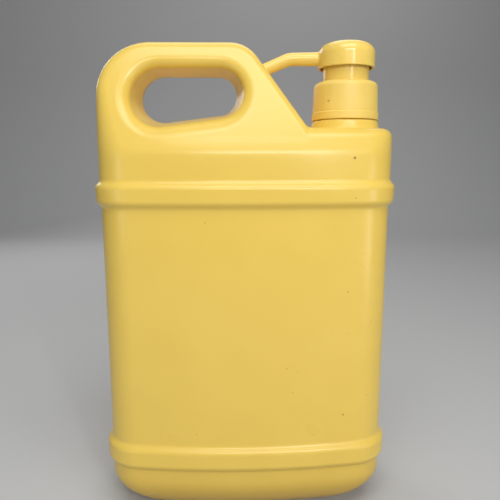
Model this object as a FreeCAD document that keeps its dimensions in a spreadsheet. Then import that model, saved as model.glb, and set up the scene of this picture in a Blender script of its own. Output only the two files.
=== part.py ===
"""Three-litre blow-moulded plastic jug with a screw-on lotion pump, as a parametric FreeCAD document.

Frame: millimetres, +Z up, origin on the standing surface under the middle of the jug.
X runs along the jug's width (handle at -X, pump at +X) and Y along its depth.
The pump is stored as it is for transport: pushed fully down onto its chaplet.
"""

import FreeCAD
import Part
import math
import os
import re

import Sketcher
from FreeCAD import Placement, Rotation, Vector

# ----------------------------------------------------------------------------
# Driving dimensions, in millimetres, degrees for angles: alias, value, meaning
# ----------------------------------------------------------------------------
SIZES = [
    ("wall", 1.1, "wall of the blown jug"),
    ("half_width", 87.5, "half of the jug's width"),
    ("half_depth", 44.8, "half of the jug's depth, at the middle of the bowed faces"),
    ("face_bow", 480.0, "radius of the bowed front and back faces"),
    ("corner", 22.0, "radius of the jug's upright corners"),
    ("base_height", 25.6, "height over which the base curves in"),
    ("base_inset_x", 46.0, "how far the base curves in at each end"),
    ("base_inset_y", 25.6, "how far the base curves in at front and back"),
    ("base_corner", 18.5, "plan radius of the standing face's corners"),
    ("low_band_z", 33.5, "underside of the lower band"),
    ("low_band_height", 14.9, "height of the lower band"),
    ("high_band_drop", 31.3, "from the crease down to the underside of the upper band"),
    ("high_band_height", 14.1, "height of the upper band"),
    ("band_proud", 2.8, "how far the bands stand out"),
    ("band_round", 2.5, "rounding of the bands' edges"),
    ("crease_drop", 14.0, "from the shoulder down to where the upright faces turn in towards the grip"),
    ("shoulder_z", 241.0, "flat shoulder under the pump"),
    ("shoulder_round", 5.5, "rounding of the shoulder's edge"),
    ("grip_height", 50.6, "height of the grip above the shoulder"),
    ("grip_half_depth", 17.5, "half depth that the sloped faces reach at the grip's top"),
    ("grip_bow", 3000.0, "radius of the faces' bow at the grip's top"),
    ("grip_round", 6.0, "rounding of the grip's edges"),
    ("grip_left_round", 31.5, "outline radius of the grip's outer corner"),
    ("grip_right_round", 20.0, "outline radius of the grip's inner corner"),
    ("slant_foot_x", 35.8, "where the slanted side of the grip meets the shoulder"),
    ("slant_angle", 34.1, "slant of the grip's side, from upright"),
    ("hole_left_x", -49.8, "centre of the finger hole's outer end"),
    ("hole_left_round", 14.3, "radius of the finger hole's outer end"),
    ("hole_right_x", -15.9, "centre of the finger hole's inner end"),
    ("hole_right_round", 12.1, "radius of the finger hole's inner end"),
    ("hole_cover", 17.5, "from the grip's top down to the finger hole, at the parting plane"),
    ("hole_draft", 7.5, "draft of the finger hole, from the parting plane outwards"),
    ("hole_rim", 6.0, "rounding of the finger hole's rim"),
    ("shoulder_root", 16.0, "how far the shoulder's block runs in under the grip"),
    ("neck_inset", 24.0, "distance of the neck's axis from the end of the jug"),
    ("neck_radius", 17.6, "neck outside its wall, without the thread"),
    ("neck_wall", 1.8, "wall of the neck"),
    ("neck_height", 24.5, "height of the neck above the shoulder"),
    ("flare_radius", 21.8, "foot of the neck's flare, on the shoulder"),
    ("flare_top_radius", 20.5, "top of the neck's flare"),
    ("flare_height", 5.9, "height of the flare above the shoulder"),
    ("closure_clear", 0.4, "from the flare up to the closure's lower rim"),
    ("closure_radius", 20.4, "outside of the closure"),
    ("closure_bead", 0.5, "how far the closure's lower bead stands out"),
    ("closure_bead_height", 4.5, "height of the closure's lower bead"),
    ("closure_top_radius", 19.8, "outside of the closure under its top edge"),
    ("closure_wall", 1.6, "wall of the closure's skirt"),
    ("closure_plate", 2.2, "thickness of the closure's top plate"),
    ("closure_round", 3.6, "rounding of the closure's top edge"),
    ("gasket_thick", 1.2, "neck gasket"),
    ("flange_thick", 1.5, "flange of the pump housing"),
    ("flange_radius", 17.4, "outside of the housing's flange and of the gasket"),
    ("cup_radius", 12.8, "outside of the housing's upper cup"),
    ("cup_wall", 1.3, "wall of the housing"),
    ("cup_depth", 11.0, "depth of the housing's upper cup"),
    ("bore_radius", 7.6, "bore of the pump cylinder"),
    ("cylinder_depth", 47.5, "from the neck's mouth down to the cylinder's ledge, which carries the spring"),
    ("valve_seat_depth", 6.0, "how far the suction valve's seat lies under the ledge"),
    ("valve_throat", 3.9, "width of the valve chamber at the ledge, as a radius"),
    ("valve_port", 1.5, "radius of the suction port"),
    ("socket_depth", 12.0, "depth of the dip tube's socket"),
    ("ball_radius", 2.5, "suction ball"),
    ("outlet_ball_radius", 2.5, "outlet ball"),
    ("outlet_cone", 3.1, "width of the outlet ball's seat in the stem's top, as a radius"),
    ("tube_radius", 3.1, "outside of the dip tube"),
    ("tube_wall", 0.8, "wall of the dip tube"),
    ("tube_end_z", 9.0, "lower end of the dip tube"),
    ("tube_grip", 10.0, "length of dip tube held in its socket"),
    ("chaplet_radius", 14.3, "outside of the chaplet"),
    ("chaplet_rise", 14.4, "height of the chaplet's top, inside the head, above the neck's mouth"),
    ("chaplet_plug", 9.0, "length of the chaplet inside the housing"),
    ("chaplet_wall", 2.2, "thickness of the chaplet's top ring"),
    ("stem_radius", 4.0, "outside of the stem"),
    ("stem_wall", 1.5, "wall of the stem"),
    ("stem_reach", 2.8, "how far the stem's top, under the outlet ball, stands above the head's rim"),
    ("boss_radius", 6.2, "outside of the head's boss"),
    ("boss_drop", 12.0, "how far the head's boss reaches down below the head's rim"),
    ("head_radius", 17.65, "outside of the press head"),
    ("head_lap", 1.1, "how far the press head, pushed down, laps over the chaplet"),
    ("head_height", 15.4, "height of the press head above its rim"),
    ("head_wall", 1.5, "wall of the press head"),
    ("head_round", 6.5, "rounding of the press head's top edge"),
    ("spout_rise", 6.1, "height of the spout's axis above the head's rim"),
    ("spout_root_radius", 4.4, "outside of the spout at the head"),
    ("spout_tip_radius", 3.85, "outside of the spout at its tip"),
    ("spout_bore", 2.2, "bore of the spout, as a radius"),
    ("spout_run", 36.0, "straight run of the spout, from the pump's axis to its bend"),
    ("spout_bend", 14.0, "radius of the spout's bend"),
    ("spout_droop", 22.5, "angle that the spout's end droops"),
    ("spout_end", 14.0, "straight run after the bend"),
    ("spout_turn", 3.0, "how far the spout is turned behind the grip"),
    ("piston_rise", 14.6, "from the cylinder's ledge up to the underside of the piston, pushed down"),
    ("piston_height", 7.4, "height of the piston"),
    ("piston_waist", 6.6, "piston between its two lips, as a radius"),
    ("piston_lip", 1.4, "height of each of the piston's lips"),
    ("seat_flange", 6.4, "flange of the piston seat, as a radius"),
    ("seat_flange_thick", 1.4, "thickness of the piston seat's flange"),
    ("seat_bore", 1.5, "bore of the piston seat, as a radius"),
    ("spring_wire", 1.0, "diameter of the spring's wire"),
    ("spring_radius", 5.6, "mean radius of the spring"),
    ("spring_turns", 6.5, "turns of the spring"),
    ("running_gap", 0.05, "radial clearance of a running fit"),
    ("seat_gap", 0.05, "clearance of pieces that seat on each other"),
    ("free_gap", 0.35, "clearance of pieces that pass without touching"),
    ("overrun", 1.0, "how far a cutting form runs on past the face that it cuts"),
]


# Heights that follow from the sizes: alias, expression, meaning
HEIGHTS = [
    ("crease_z", "shoulder_z - crease_drop", "where the upright faces turn in towards the grip"),
    ("high_band_z", "crease_z - high_band_drop", "underside of the upper band"),
    ("grip_top_z", "shoulder_z + grip_height", "top of the grip"),
    ("hole_top_z", "grip_top_z - hole_cover", "top of the finger hole at the parting plane"),
    ("neck_top_z", "shoulder_z + neck_height", "mouth of the neck"),
    ("flare_top_z", "shoulder_z + flare_height", "height of the flare's top"),
    ("closure_base_z", "flare_top_z + closure_clear", "lower rim of the closure"),
    ("cylinder_floor_z", "neck_top_z - cylinder_depth", "ledge at the bottom of the cylinder"),
    ("piston_base_z", "cylinder_floor_z + piston_rise", "underside of the piston, pushed down"),
    ("chaplet_top_z", "neck_top_z + chaplet_rise", "top of the chaplet, inside the head"),
    ("head_base_z", "chaplet_top_z - head_lap", "lower rim of the press head"),
    ("head_top_z", "head_base_z + head_height", "top of the press head"),
    ("stem_top_z", "head_base_z + stem_reach", "top of the stem, under the outlet ball"),
    ("boss_base_z", "head_base_z - boss_drop", "lower end of the head's boss"),
    ("spout_z", "head_base_z + spout_rise", "height of the spout's axis at the head"),
]

ALIASES = {alias for alias, value, meaning in SIZES + HEIGHTS}
CLOSE = 0.05  # how near an edge lies to the place where it is looked for
NECK_X = "half_width - neck_inset"


def fill_sheet(doc):
    """Write the driving dimensions and the heights that follow from them into a spreadsheet, one row each."""
    sheet = doc.addObject("Spreadsheet::Sheet", "Sizes")
    for row, (alias, value, meaning) in enumerate(SIZES, start=1):
        sheet.set(f"A{row}", meaning)
        sheet.set(f"B{row}", str(value))
        sheet.setAlias(f"B{row}", alias)
    for row, (alias, expression, meaning) in enumerate(HEIGHTS, start=len(SIZES) + 1):
        sheet.set(f"A{row}", meaning)
        sheet.set(f"B{row}", f"={expression}")
        sheet.setAlias(f"B{row}", alias)
    doc.recompute()
    return sheet


def worth(doc, expression):
    """Work an expression out with the sheet's present values."""
    result = doc.getObject("Sizes").evalExpression(sized(expression))
    return float(getattr(result, "Value", result))


def origin_plane(body, role):
    """Return the body's own origin plane that has this role."""
    for feature in body.Origin.OriginFeatures:
        if feature.Role == role:
            return feature
    raise ValueError(f"{body.Name} has no {role}")


def sized(expression):
    """Write the sheet's name in front of each alias in an expression."""
    return re.sub(r"[a-z_]+", lambda found: ("Sizes." if found[0] in ALIASES else "") + found[0], expression)


class Profile:
    """A closed sketch on one of a body's origin planes, whose sizes are expressions of the sheet."""

    def __init__(self, body, name, role, offset=("0", "0", "0")):
        self.sketch = body.newObject("Sketcher::SketchObject", name)
        self.sketch.AttachmentSupport = [(origin_plane(body, role), "")]
        self.sketch.MapMode = "FlatFace"
        for axis, expression in zip("xyz", offset):
            if expression != "0":
                self.sketch.setExpression(f"AttachmentOffset.Base.{axis}", sized(expression))

    def value(self, expression):
        """Work an expression out with the sheet's present values."""
        return worth(self.sketch.Document, expression)

    def tilt(self, angle):
        """Lean the sketch's plane about its own horizontal axis by an expression."""
        offset = self.sketch.AttachmentOffset
        offset.Rotation = Rotation(Vector(-1, 0, 0), self.value(angle))
        self.sketch.AttachmentOffset = offset
        self.sketch.setExpression("AttachmentOffset.Rotation.Angle", sized(angle))

    def bind(self, constraint, expression):
        """Add a constraint and tie its size to an expression."""
        index = self.sketch.addConstraint(constraint)
        self.sketch.setExpression(f"Constraints[{index}]", sized(expression))

    def place(self, geometry, point, x, y):
        """Fix a point of the sketch at two expressions."""
        self.bind(Sketcher.Constraint("DistanceX", -1, 1, geometry, point, self.value(x)), x)
        self.bind(Sketcher.Constraint("DistanceY", -1, 1, geometry, point, self.value(y)), y)

    def circle(self, x, y, radius):
        """Draw one circle."""
        centre = Vector(self.value(x), self.value(y), 0)
        index = self.sketch.addGeometry(Part.Circle(centre, Vector(0, 0, 1), self.value(radius)))
        self.place(index, 3, x, y)
        self.bind(Sketcher.Constraint("Radius", index, self.value(radius)), radius)

    def polygon(self, corners):
        """Draw straight lines through corners, each a pair of expressions."""
        spots = [Vector(self.value(x), self.value(y), 0) for x, y in corners]
        count = len(spots)
        for index, spot in enumerate(spots):
            self.sketch.addGeometry(Part.LineSegment(spot, spots[(index + 1) % count]))
        for index in range(count):
            self.sketch.addConstraint(Sketcher.Constraint("Coincident", index, 2, (index + 1) % count, 1))
        for index, (x, y) in enumerate(corners):
            self.place(index, 1, x, y)

    def belt(self, left, right):
        """Draw two round ends joined by tangent lines; each end is x, y and radius expressions."""
        centres = [Vector(self.value(x), self.value(y), 0) for x, y, radius in (left, right)]
        radii = [self.value(radius) for x, y, radius in (left, right)]
        along = centres[1] - centres[0]
        lean = math.asin((radii[0] - radii[1]) / along.Length)
        heading = math.atan2(along.y, along.x)
        upper = heading + math.pi / 2 - lean
        lower = heading - math.pi / 2 + lean
        tips = []
        for turn in (upper, lower):
            reach = Vector(math.cos(turn), math.sin(turn), 0)
            tips.append([centre + reach * radius for centre, radius in zip(centres, radii)])
        (upper_left, upper_right), (lower_left, lower_right) = tips
        rounds = [Part.Circle(centre, Vector(0, 0, 1), radius) for centre, radius in zip(centres, radii)]
        self.sketch.addGeometry(Part.ArcOfCircle(rounds[0], upper, lower + 2 * math.pi))
        self.sketch.addGeometry(Part.LineSegment(lower_left, lower_right))
        self.sketch.addGeometry(Part.ArcOfCircle(rounds[1], lower, upper))
        self.sketch.addGeometry(Part.LineSegment(upper_right, upper_left))
        for index in range(4):
            self.sketch.addConstraint(Sketcher.Constraint("Tangent", index, 2, (index + 1) % 4, 1))
        for index, (x, y, radius) in zip((0, 2), (left, right)):
            self.place(index, 3, x, y)
            self.bind(Sketcher.Constraint("Radius", index, self.value(radius)), radius)

    def slab(self, left, right, depth, bow, left_corner, right_corner):
        """Draw a plan section: bowed front and back, straight ends and rounded corners.

        left and right are the ends' places along X, depth is half the depth at the middle of the
        jug, bow is the faces' radius, and the corners are tangent to faces and ends.
        """
        x_left, x_right = self.value(left), self.value(right)
        half, radius = self.value(depth), self.value(bow)
        drop = radius - half
        ends = []
        reach = ((x_left, self.value(left_corner), -1), (x_right, self.value(right_corner), 1))
        for x_end, corner, side in reach:
            x = x_end - side * corner
            y = drop - math.sqrt((radius - corner) ** 2 - x * x)
            ends.append((x, y, corner, math.atan2(y - drop, x)))
        (xl, yl, rl, al), (xr, yr, rr, ar) = ends

        def arc(x, y, r, start, end):
            circle = Part.Circle(Vector(x, y, 0), Vector(0, 0, 1), r)
            self.sketch.addGeometry(Part.ArcOfCircle(circle, start, end))

        arc(0, drop, radius, al, ar)
        arc(xr, yr, rr, ar, 0)
        self.sketch.addGeometry(Part.LineSegment(Vector(x_right, yr, 0), Vector(x_right, -yr, 0)))
        arc(xr, -yr, rr, 0, -ar)
        arc(0, -drop, radius, -ar, -al)
        arc(xl, -yl, rl, -al, math.pi)
        self.sketch.addGeometry(Part.LineSegment(Vector(x_left, -yl, 0), Vector(x_left, yl, 0)))
        arc(xl, yl, rl, -math.pi, al)
        for index in range(8):
            self.sketch.addConstraint(Sketcher.Constraint("Tangent", index, 2, (index + 1) % 8, 1))
        self.place(0, 3, "0", f"{bow} - ({depth})")
        self.place(4, 3, "0", f"({depth}) - ({bow})")
        for one, other in ((0, 4), (1, 3), (7, 5)):
            self.sketch.addConstraint(Sketcher.Constraint("Equal", one, other))
        for side in (2, 6):
            self.sketch.addConstraint(Sketcher.Constraint("Vertical", side))
        self.bind(Sketcher.Constraint("Radius", 0, radius), bow)
        self.bind(Sketcher.Constraint("DistanceX", -1, 1, 2, 1, x_right), right)
        self.bind(Sketcher.Constraint("DistanceX", -1, 1, 6, 1, x_left), left)
        self.bind(Sketcher.Constraint("Radius", 1, rr), right_corner)
        self.bind(Sketcher.Constraint("Radius", 7, rl), left_corner)


def pad(body, name, profile, length):
    """Add a Pad of a profile."""
    feature = body.newObject("PartDesign::Pad", name)
    feature.Profile = profile.sketch
    feature.setExpression("Length", sized(length))
    return feature


def loft(body, name, profiles, ruled=False, kind="AdditiveLoft"):
    """Add a loft through profiles, in their order."""
    feature = body.newObject(f"PartDesign::{kind}", name)
    feature.Profile = profiles[0].sketch
    feature.Sections = [profile.sketch for profile in profiles[1:]]
    feature.Ruled = ruled
    return feature


def turn(body, kind, name, profile):
    """Add a Revolution or a Groove of a profile, all the way round its upright axis."""
    feature = body.newObject(f"PartDesign::{kind}", name)
    feature.Profile = profile.sketch
    feature.ReferenceAxis = (profile.sketch, ["V_Axis"])
    feature.Angle = 360
    return feature


def soften(body, name, base, radius, chosen):
    """Round the edges of base for which chosen(edge) is true."""
    body.Document.recompute()
    names = [f"Edge{i}" for i, edge in enumerate(base.Shape.Edges, start=1) if chosen(edge)]
    feature = body.newObject("PartDesign::Fillet", name)
    feature.Base = (base, names)
    feature.setExpression("Radius", sized(radius))
    return feature


def level(edge, height):
    """Tell whether an edge lies flat at a height."""
    box = edge.BoundBox
    return abs(box.ZMin - height) < CLOSE and abs(box.ZMax - height) < CLOSE


def ring_at(doc, radius, height):
    """Return a test for the round edge of this radius and height about a body's own axis."""
    reach = worth(doc, radius)
    rise = worth(doc, height)

    def chosen(edge):
        is_ring = isinstance(edge.Curve, Part.Circle)
        return is_ring and level(edge, rise) and abs(edge.Curve.Radius - reach) < CLOSE

    return chosen


class JugForm:
    """The jug's moulded form, drawn inset from its outside by an expression.

    An inset of 0 gives the outside, and an inset of the wall gives the space inside.
    """

    BASE_ANGLES = (0, 12, 24, 36, 48, 60, 75, 90)
    GRIP_ANGLES = (0, 12, 24, 36, 48, 60, 70, 78, 84, 90)
    SHOULDER_ANGLES = (0, 30, 60, 90)
    RIM_ANGLES = (0, 25, 50, 72)

    def __init__(self, doc, name, inset):
        self.doc = doc
        self.inset = inset
        self.body = doc.addObject("PartDesign::Body", name)
        self.body.Label = name
        self.name = name
        self.add_column()
        self.add_bands()
        self.add_wedge()
        self.add_shoulder()
        self.add_grip()
        self.add_hole()

    def plan(self, name, z, left, right, depth, bow, left_corner, right_corner):
        """Draw one plan section at a height."""
        profile = Profile(self.body, f"{self.name}_{name}", "XY_Plane", ("0", "0", z))
        profile.slab(left, right, depth, bow, left_corner, right_corner)
        return profile

    def column_plan(self, name, z, growth="0"):
        """Draw the upright section, grown outwards by an expression."""
        grow = f"({growth} - {self.inset})"
        half = f"(half_width + {grow})"
        corner = f"corner + {grow}"
        depth = f"half_depth + {grow}"
        return self.plan(name, z, f"-{half}", half, depth, f"face_bow + {grow}", corner, corner)

    def add_column(self):
        """The upright walls, on a base that curves in like a boat's."""
        inset = self.inset
        profiles = []
        for angle in self.BASE_ANGLES:
            z = f"{inset} + (base_height - {inset}) * (1 - cos({angle}))"
            short = f"(1 - sin({angle}))"
            half = f"(half_width - {inset} - (base_inset_x - {inset}) * {short})"
            depth = f"half_depth - {inset} - (base_inset_y - {inset}) * {short}"
            corner = f"base_corner + (corner - {inset} - base_corner) * sin({angle})"
            bow = f"face_bow - {inset}"
            profiles.append(self.plan(f"base_{angle}", z, f"-{half}", half, depth, bow, corner, corner))
        loft(self.body, f"{self.name}_base", profiles, ruled=True)
        column = self.column_plan("column", "base_height")
        pad(self.body, f"{self.name}_walls", column, "crease_z - base_height")

    def add_bands(self):
        """Two raised bands round the walls, with rounded edges."""
        inset = self.inset
        for band in ("low", "high"):
            base = f"{band}_band_z + {inset}"
            height = f"{band}_band_height - 2 * {inset}"
            ring = self.column_plan(f"{band}_band", base, "band_proud")
            block = pad(self.body, f"{self.name}_{band}_ring", ring, height)
            low = ring.value(base)
            high = low + ring.value(height)
            outline = [curve.toShape() for curve in ring.sketch.Geometry]

            def rim(edge):
                if not (level(edge, low) or level(edge, high)):
                    return False
                middle = edge.valueAt((edge.FirstParameter + edge.LastParameter) / 2)
                spot = Part.Vertex(middle.x, middle.y, 0)
                return min(curve.distToShape(spot)[0] for curve in outline) < CLOSE

            soften(self.body, f"{self.name}_{band}_round", block, f"band_round - {inset}", rim)

    def depth_at(self, z):
        """Half depth of the sloped faces at a height, without the top's rounding."""
        slope = "(half_depth - grip_half_depth) / (grip_top_z - crease_z)"
        return f"half_depth - {self.inset} - ({z} - crease_z) * {slope}"

    def share(self, z):
        """How far a height is on the way from the crease to the grip's top."""
        return f"(({z} - crease_z) / (grip_top_z - crease_z))"

    def bow_at(self, z):
        """Radius of the faces' bow at a height, which flattens towards the top."""
        return f"1 / ((1 - {self.share(z)}) / (face_bow - {self.inset}) + {self.share(z)} / grip_bow)"

    def corner_at(self, z):
        """Plan radius of the corners at a height, which shrinks towards the top."""
        return f"corner - (corner - grip_round) * {self.share(z)} - {self.inset}"

    def add_wedge(self):
        """The full-width start of the sloped part, up to the shoulder's rounding."""
        half = f"(half_width - {self.inset})"
        profiles = [self.column_plan("crease", "crease_z")]
        z = "(shoulder_z - shoulder_round)"
        corner = self.corner_at(z)
        depth, bow = self.depth_at(z), self.bow_at(z)
        profiles.append(self.plan("slope", z, f"-{half}", half, depth, bow, corner, corner))
        loft(self.body, f"{self.name}_wedge", profiles, ruled=True)

    def add_shoulder(self):
        """The flat shoulder that carries the neck, rounded at its edge."""
        round_off = f"(shoulder_round - {self.inset})"
        profiles = []
        for angle in self.SHOULDER_ANGLES:
            z = f"(shoulder_z - shoulder_round + {round_off} * sin({angle}))"
            short = f"({round_off} * (1 - cos({angle})))"
            right = f"half_width - {self.inset} - {short}"
            depth = f"{self.depth_at(z)} - {short}"
            corner = f"{self.corner_at(z)} - {short}"
            left = "slant_foot_x - shoulder_root"
            bow = self.bow_at(z)
            profiles.append(self.plan(f"shoulder_{angle}", z, left, right, depth, bow, "grip_round", corner))
        loft(self.body, f"{self.name}_shoulder", profiles, ruled=True)

    def slant_x(self, z):
        """Place along X of the grip's slanted side at a height, and of the round above it."""
        inner = f"(grip_right_round - {self.inset})"
        centre_z = "(grip_top_z - grip_right_round)"
        rise = f"({centre_z} - shoulder_z) * sin(slant_angle)"
        centre_x = f"(slant_foot_x - (grip_right_round + {rise}) / cos(slant_angle))"
        line = f"slant_foot_x - {self.inset} / cos(slant_angle) - ({z} - shoulder_z) * tan(slant_angle)"
        arc = f"{centre_x} + sqrt(abs({inner} ^ 2 - ({z} - {centre_z}) ^ 2))"
        return f"({z} > {centre_z} + {inner} * sin(slant_angle) ? {arc} : {line})"

    def add_grip(self):
        """The grip's block, lofted upwards with a round outer corner and a rounded top."""
        inset = self.inset
        inner = f"(grip_left_round - {inset})"
        edge = f"(grip_round - {inset})"
        edge_z = "(grip_top_z - grip_round)"
        stations = [("foot", "(shoulder_z - shoulder_round)", f"{inset} - half_width")]
        for angle in self.GRIP_ANGLES:
            z = f"(grip_top_z - grip_left_round + {inner} * sin({angle}))"
            left = f"grip_left_round - half_width - {inner} * cos({angle})"
            stations.append((f"grip_{angle}", z, left))
        profiles = []
        for name, z, left in stations:
            short = f"({z} > {edge_z} ? {edge} - sqrt(abs({edge} ^ 2 - ({z} - {edge_z}) ^ 2)) : 0)"
            depth = f"{self.depth_at(z)} - {short}"
            corners = self.corner_at(z), f"grip_round - {inset}"
            profiles.append(self.plan(name, z, left, self.slant_x(z), depth, self.bow_at(z), *corners))
        loft(self.body, f"{self.name}_grip", profiles, ruled=True)

    def add_hole(self):
        """The finger hole, drafted from the parting plane out to its rounded rims."""
        middle_z = "(hole_top_z - hole_left_round)"
        slope = "((half_depth - grip_half_depth) / (grip_top_z - crease_z))"
        face = f"({self.depth_at(middle_z)})"
        rim = f"(hole_rim - {self.inset})"
        draft = f"({face} - {rim}) * tan(hole_draft)"
        edge_angle = self.RIM_ANGLES[-1]
        stations = [("waist", None, "0")]
        for angle in self.RIM_ANGLES:
            growth = f"{draft} + {rim} * (1 - cos({angle}))"
            stations.append((f"rim_{angle}", f"{rim} * (1 - sin({angle}))", growth))
        spill = f"({rim} * (1 - sin({edge_angle})) + overrun) * tan({edge_angle})"
        stations.append(("spill", "-overrun", f"{growth} + {spill}"))
        profiles = []
        for name, depth, growth in stations:
            profile = Profile(self.body, f"{self.name}_hole_{name}", "XZ_Plane")
            base_z, lean = "0", "1"
            if depth:
                lean = f"cos(atan({slope}))"
                base_z = middle_z
                profile.tilt(f"atan({slope})")
                profile.sketch.setExpression("AttachmentOffset.Base.y", sized(middle_z))
                profile.sketch.setExpression("AttachmentOffset.Base.z", sized(f"{face} - {depth} / {lean}"))
            ends = []
            for side in ("left", "right"):
                radius = f"hole_{side}_round"
                rise = f"(hole_top_z - {radius} - {base_z}) / {lean}"
                ends.append((f"hole_{side}_x", rise, f"({radius} + {self.inset} + {growth}) / {lean}"))
            profile.belt(*ends)
            profiles.append(profile)
        front = loft(self.body, f"{self.name}_hole_front", profiles, ruled=True, kind="SubtractiveLoft")
        back = self.body.newObject("PartDesign::Mirrored", f"{self.name}_hole_back")
        back.Originals = [front]
        back.MirrorPlane = (origin_plane(self.body, "XZ_Plane"), [""])
        self.body.Tip = back


def add_body(doc, name, axis_x=None):
    """Start a body; with axis_x its own upright axis stands at that place along X."""
    body = doc.addObject("PartDesign::Body", name)
    body.Label = name
    if axis_x:
        body.setExpression("Placement.Base.x", sized(axis_x))
    return body


def turned(body, name, corners, kind="Revolution"):
    """Turn a profile of (radius, height) corners about the body's upright axis."""
    profile = Profile(body, f"{name}_profile", "XZ_Plane")
    profile.polygon(corners)
    return turn(body, kind, name, profile)


def add_jug(doc):
    """The jug, blown in one piece: a closed form with its neck, less the space inside."""
    outside = JugForm(doc, "jug_outside", "0").body
    inside = JugForm(doc, "jug_inside", "wall").body
    neck = add_body(doc, "neck_outside", NECK_X)
    root = "shoulder_z - shoulder_round"
    turned(neck, "neck_flare", [
        ("0", root),
        ("flare_radius", root),
        ("flare_radius", "shoulder_z"),
        ("flare_top_radius", "flare_top_z"),
        ("neck_radius", "flare_top_z"),
        ("neck_radius", "neck_top_z"),
        ("0", "neck_top_z"),
    ])
    mouth = add_body(doc, "neck_inside", NECK_X)
    turned(mouth, "neck_bore", [
        ("0", f"{root} - wall"),
        ("neck_radius - neck_wall", f"{root} - wall"),
        ("neck_radius - neck_wall", "neck_top_z + overrun"),
        ("0", "neck_top_z + overrun"),
    ])
    solid = doc.addObject("Part::MultiFuse", "jug_solid")
    solid.Shapes = [outside, neck]
    space = doc.addObject("Part::MultiFuse", "jug_space")
    space.Shapes = [inside, mouth]
    jug = doc.addObject("Part::Cut", "jug_body")
    jug.Base = solid
    jug.Tool = space
    return jug


def add_closure(doc):
    """The screw closure: a plain skirt with a bead at its foot and a hole for the chaplet."""
    body = add_body(doc, "screw_closure", NECK_X)
    inner = "closure_radius - closure_wall"
    top = "neck_top_z + gasket_thick + flange_thick + 3 * seat_gap + closure_plate"
    under = "neck_top_z + gasket_thick + flange_thick + 3 * seat_gap"
    bead_top = "closure_base_z + closure_bead_height"
    shell = turned(body, "closure_shell", [
        (inner, "closure_base_z"),
        ("closure_radius + closure_bead", "closure_base_z"),
        ("closure_radius + closure_bead", bead_top),
        ("closure_radius", f"{bead_top} + closure_bead"),
        ("closure_top_radius", top),
        ("chaplet_radius + free_gap", top),
        ("chaplet_radius + free_gap", under),
        (inner, under),
    ])
    rounded = soften(body, "closure_edge", shell, "closure_round", ring_at(doc, "closure_top_radius", top))
    foot = ring_at(doc, "closure_radius + closure_bead", "closure_base_z")
    soften(body, "closure_foot", rounded, "closure_bead", foot)
    return body


def add_gasket(doc):
    """The flat ring that seals the housing's flange on the neck."""
    body = add_body(doc, "neck_gasket", NECK_X)
    low = "neck_top_z + seat_gap"
    high = f"{low} + gasket_thick"
    turned(body, "gasket_ring", [
        ("cup_radius + free_gap", low),
        ("flange_radius", low),
        ("flange_radius", high),
        ("cup_radius + free_gap", high),
    ])
    return body


def add_housing(doc):
    """The pump housing: flange, cup for the chaplet, cylinder, valve seat and tube socket."""
    body = add_body(doc, "pump_housing", NECK_X)
    flange = "neck_top_z + gasket_thick + 2 * seat_gap"
    top = f"{flange} + flange_thick"
    cup_floor = f"{top} - cup_depth"
    seat = "cylinder_floor_z - valve_seat_depth"
    socket = f"{seat} - cup_wall"
    foot = f"{socket} - socket_depth"
    bore = "tube_radius + seat_gap"
    turned(body, "housing_wall", [
        ("cup_radius - cup_wall", top),
        ("cup_radius - cup_wall", cup_floor),
        ("bore_radius", cup_floor),
        ("bore_radius", "cylinder_floor_z"),
        ("valve_throat", "cylinder_floor_z"),
        ("valve_throat", f"{seat} + valve_throat - valve_port"),
        ("valve_port", seat),
        ("valve_port", socket),
        (bore, socket),
        (bore, foot),
        (f"{bore} + cup_wall", foot),
        (f"{bore} + cup_wall", f"{seat} - cup_wall"),
        ("valve_throat + cup_wall", seat),
        ("valve_throat + cup_wall", "cylinder_floor_z - cup_wall"),
        ("bore_radius + cup_wall", "cylinder_floor_z - cup_wall"),
        ("bore_radius + cup_wall", f"{cup_floor} - cup_wall"),
        ("cup_radius", f"{cup_floor} - cup_wall"),
        ("cup_radius", flange),
        ("flange_radius", flange),
        ("flange_radius", top),
    ])
    return body


def add_chaplet(doc):
    """The chaplet that closes the housing, guides the stem and takes the head's boss."""
    body = add_body(doc, "chaplet", NECK_X)
    rest = "neck_top_z + gasket_thick + flange_thick + 3 * seat_gap"
    plug = "cup_radius - cup_wall - seat_gap"
    foot = f"{rest} - chaplet_plug"
    guide = "stem_radius + running_gap"
    well = "boss_radius + free_gap"
    well_floor = "boss_base_z - free_gap"
    turned(body, "chaplet_wall", [
        (guide, foot),
        (plug, foot),
        (plug, rest),
        ("chaplet_radius", rest),
        ("chaplet_radius", "chaplet_top_z"),
        ("chaplet_radius - chaplet_wall", "chaplet_top_z"),
        ("chaplet_radius - chaplet_wall", f"{rest} + chaplet_wall"),
        (f"{well} + chaplet_wall", f"{rest} + chaplet_wall"),
        (f"{well} + chaplet_wall", "chaplet_top_z"),
        (well, "chaplet_top_z"),
        (well, well_floor),
        (guide, well_floor),
    ])
    return body


# Both valve balls rest in cones of 45 degrees; these are the heights of the cones' narrow ends.
OUTLET_SEAT = "(stem_top_z - outlet_cone + seat_bore)"
SUCTION_SEAT = "(cylinder_floor_z - valve_seat_depth)"


def add_stem(doc):
    """The hollow stem, whose top is the seat of the outlet ball."""
    body = add_body(doc, "stem", NECK_X)
    bore = "stem_radius - stem_wall"
    foot = "piston_base_z + seat_gap"
    turned(body, "stem_tube", [
        (bore, foot),
        ("stem_radius", foot),
        ("stem_radius", "stem_top_z"),
        ("outlet_cone", "stem_top_z"),
        ("seat_bore", OUTLET_SEAT),
        ("seat_bore", f"{OUTLET_SEAT} - stem_wall"),
        (bore, f"{OUTLET_SEAT} - 2 * stem_wall"),
    ])
    return body


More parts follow.
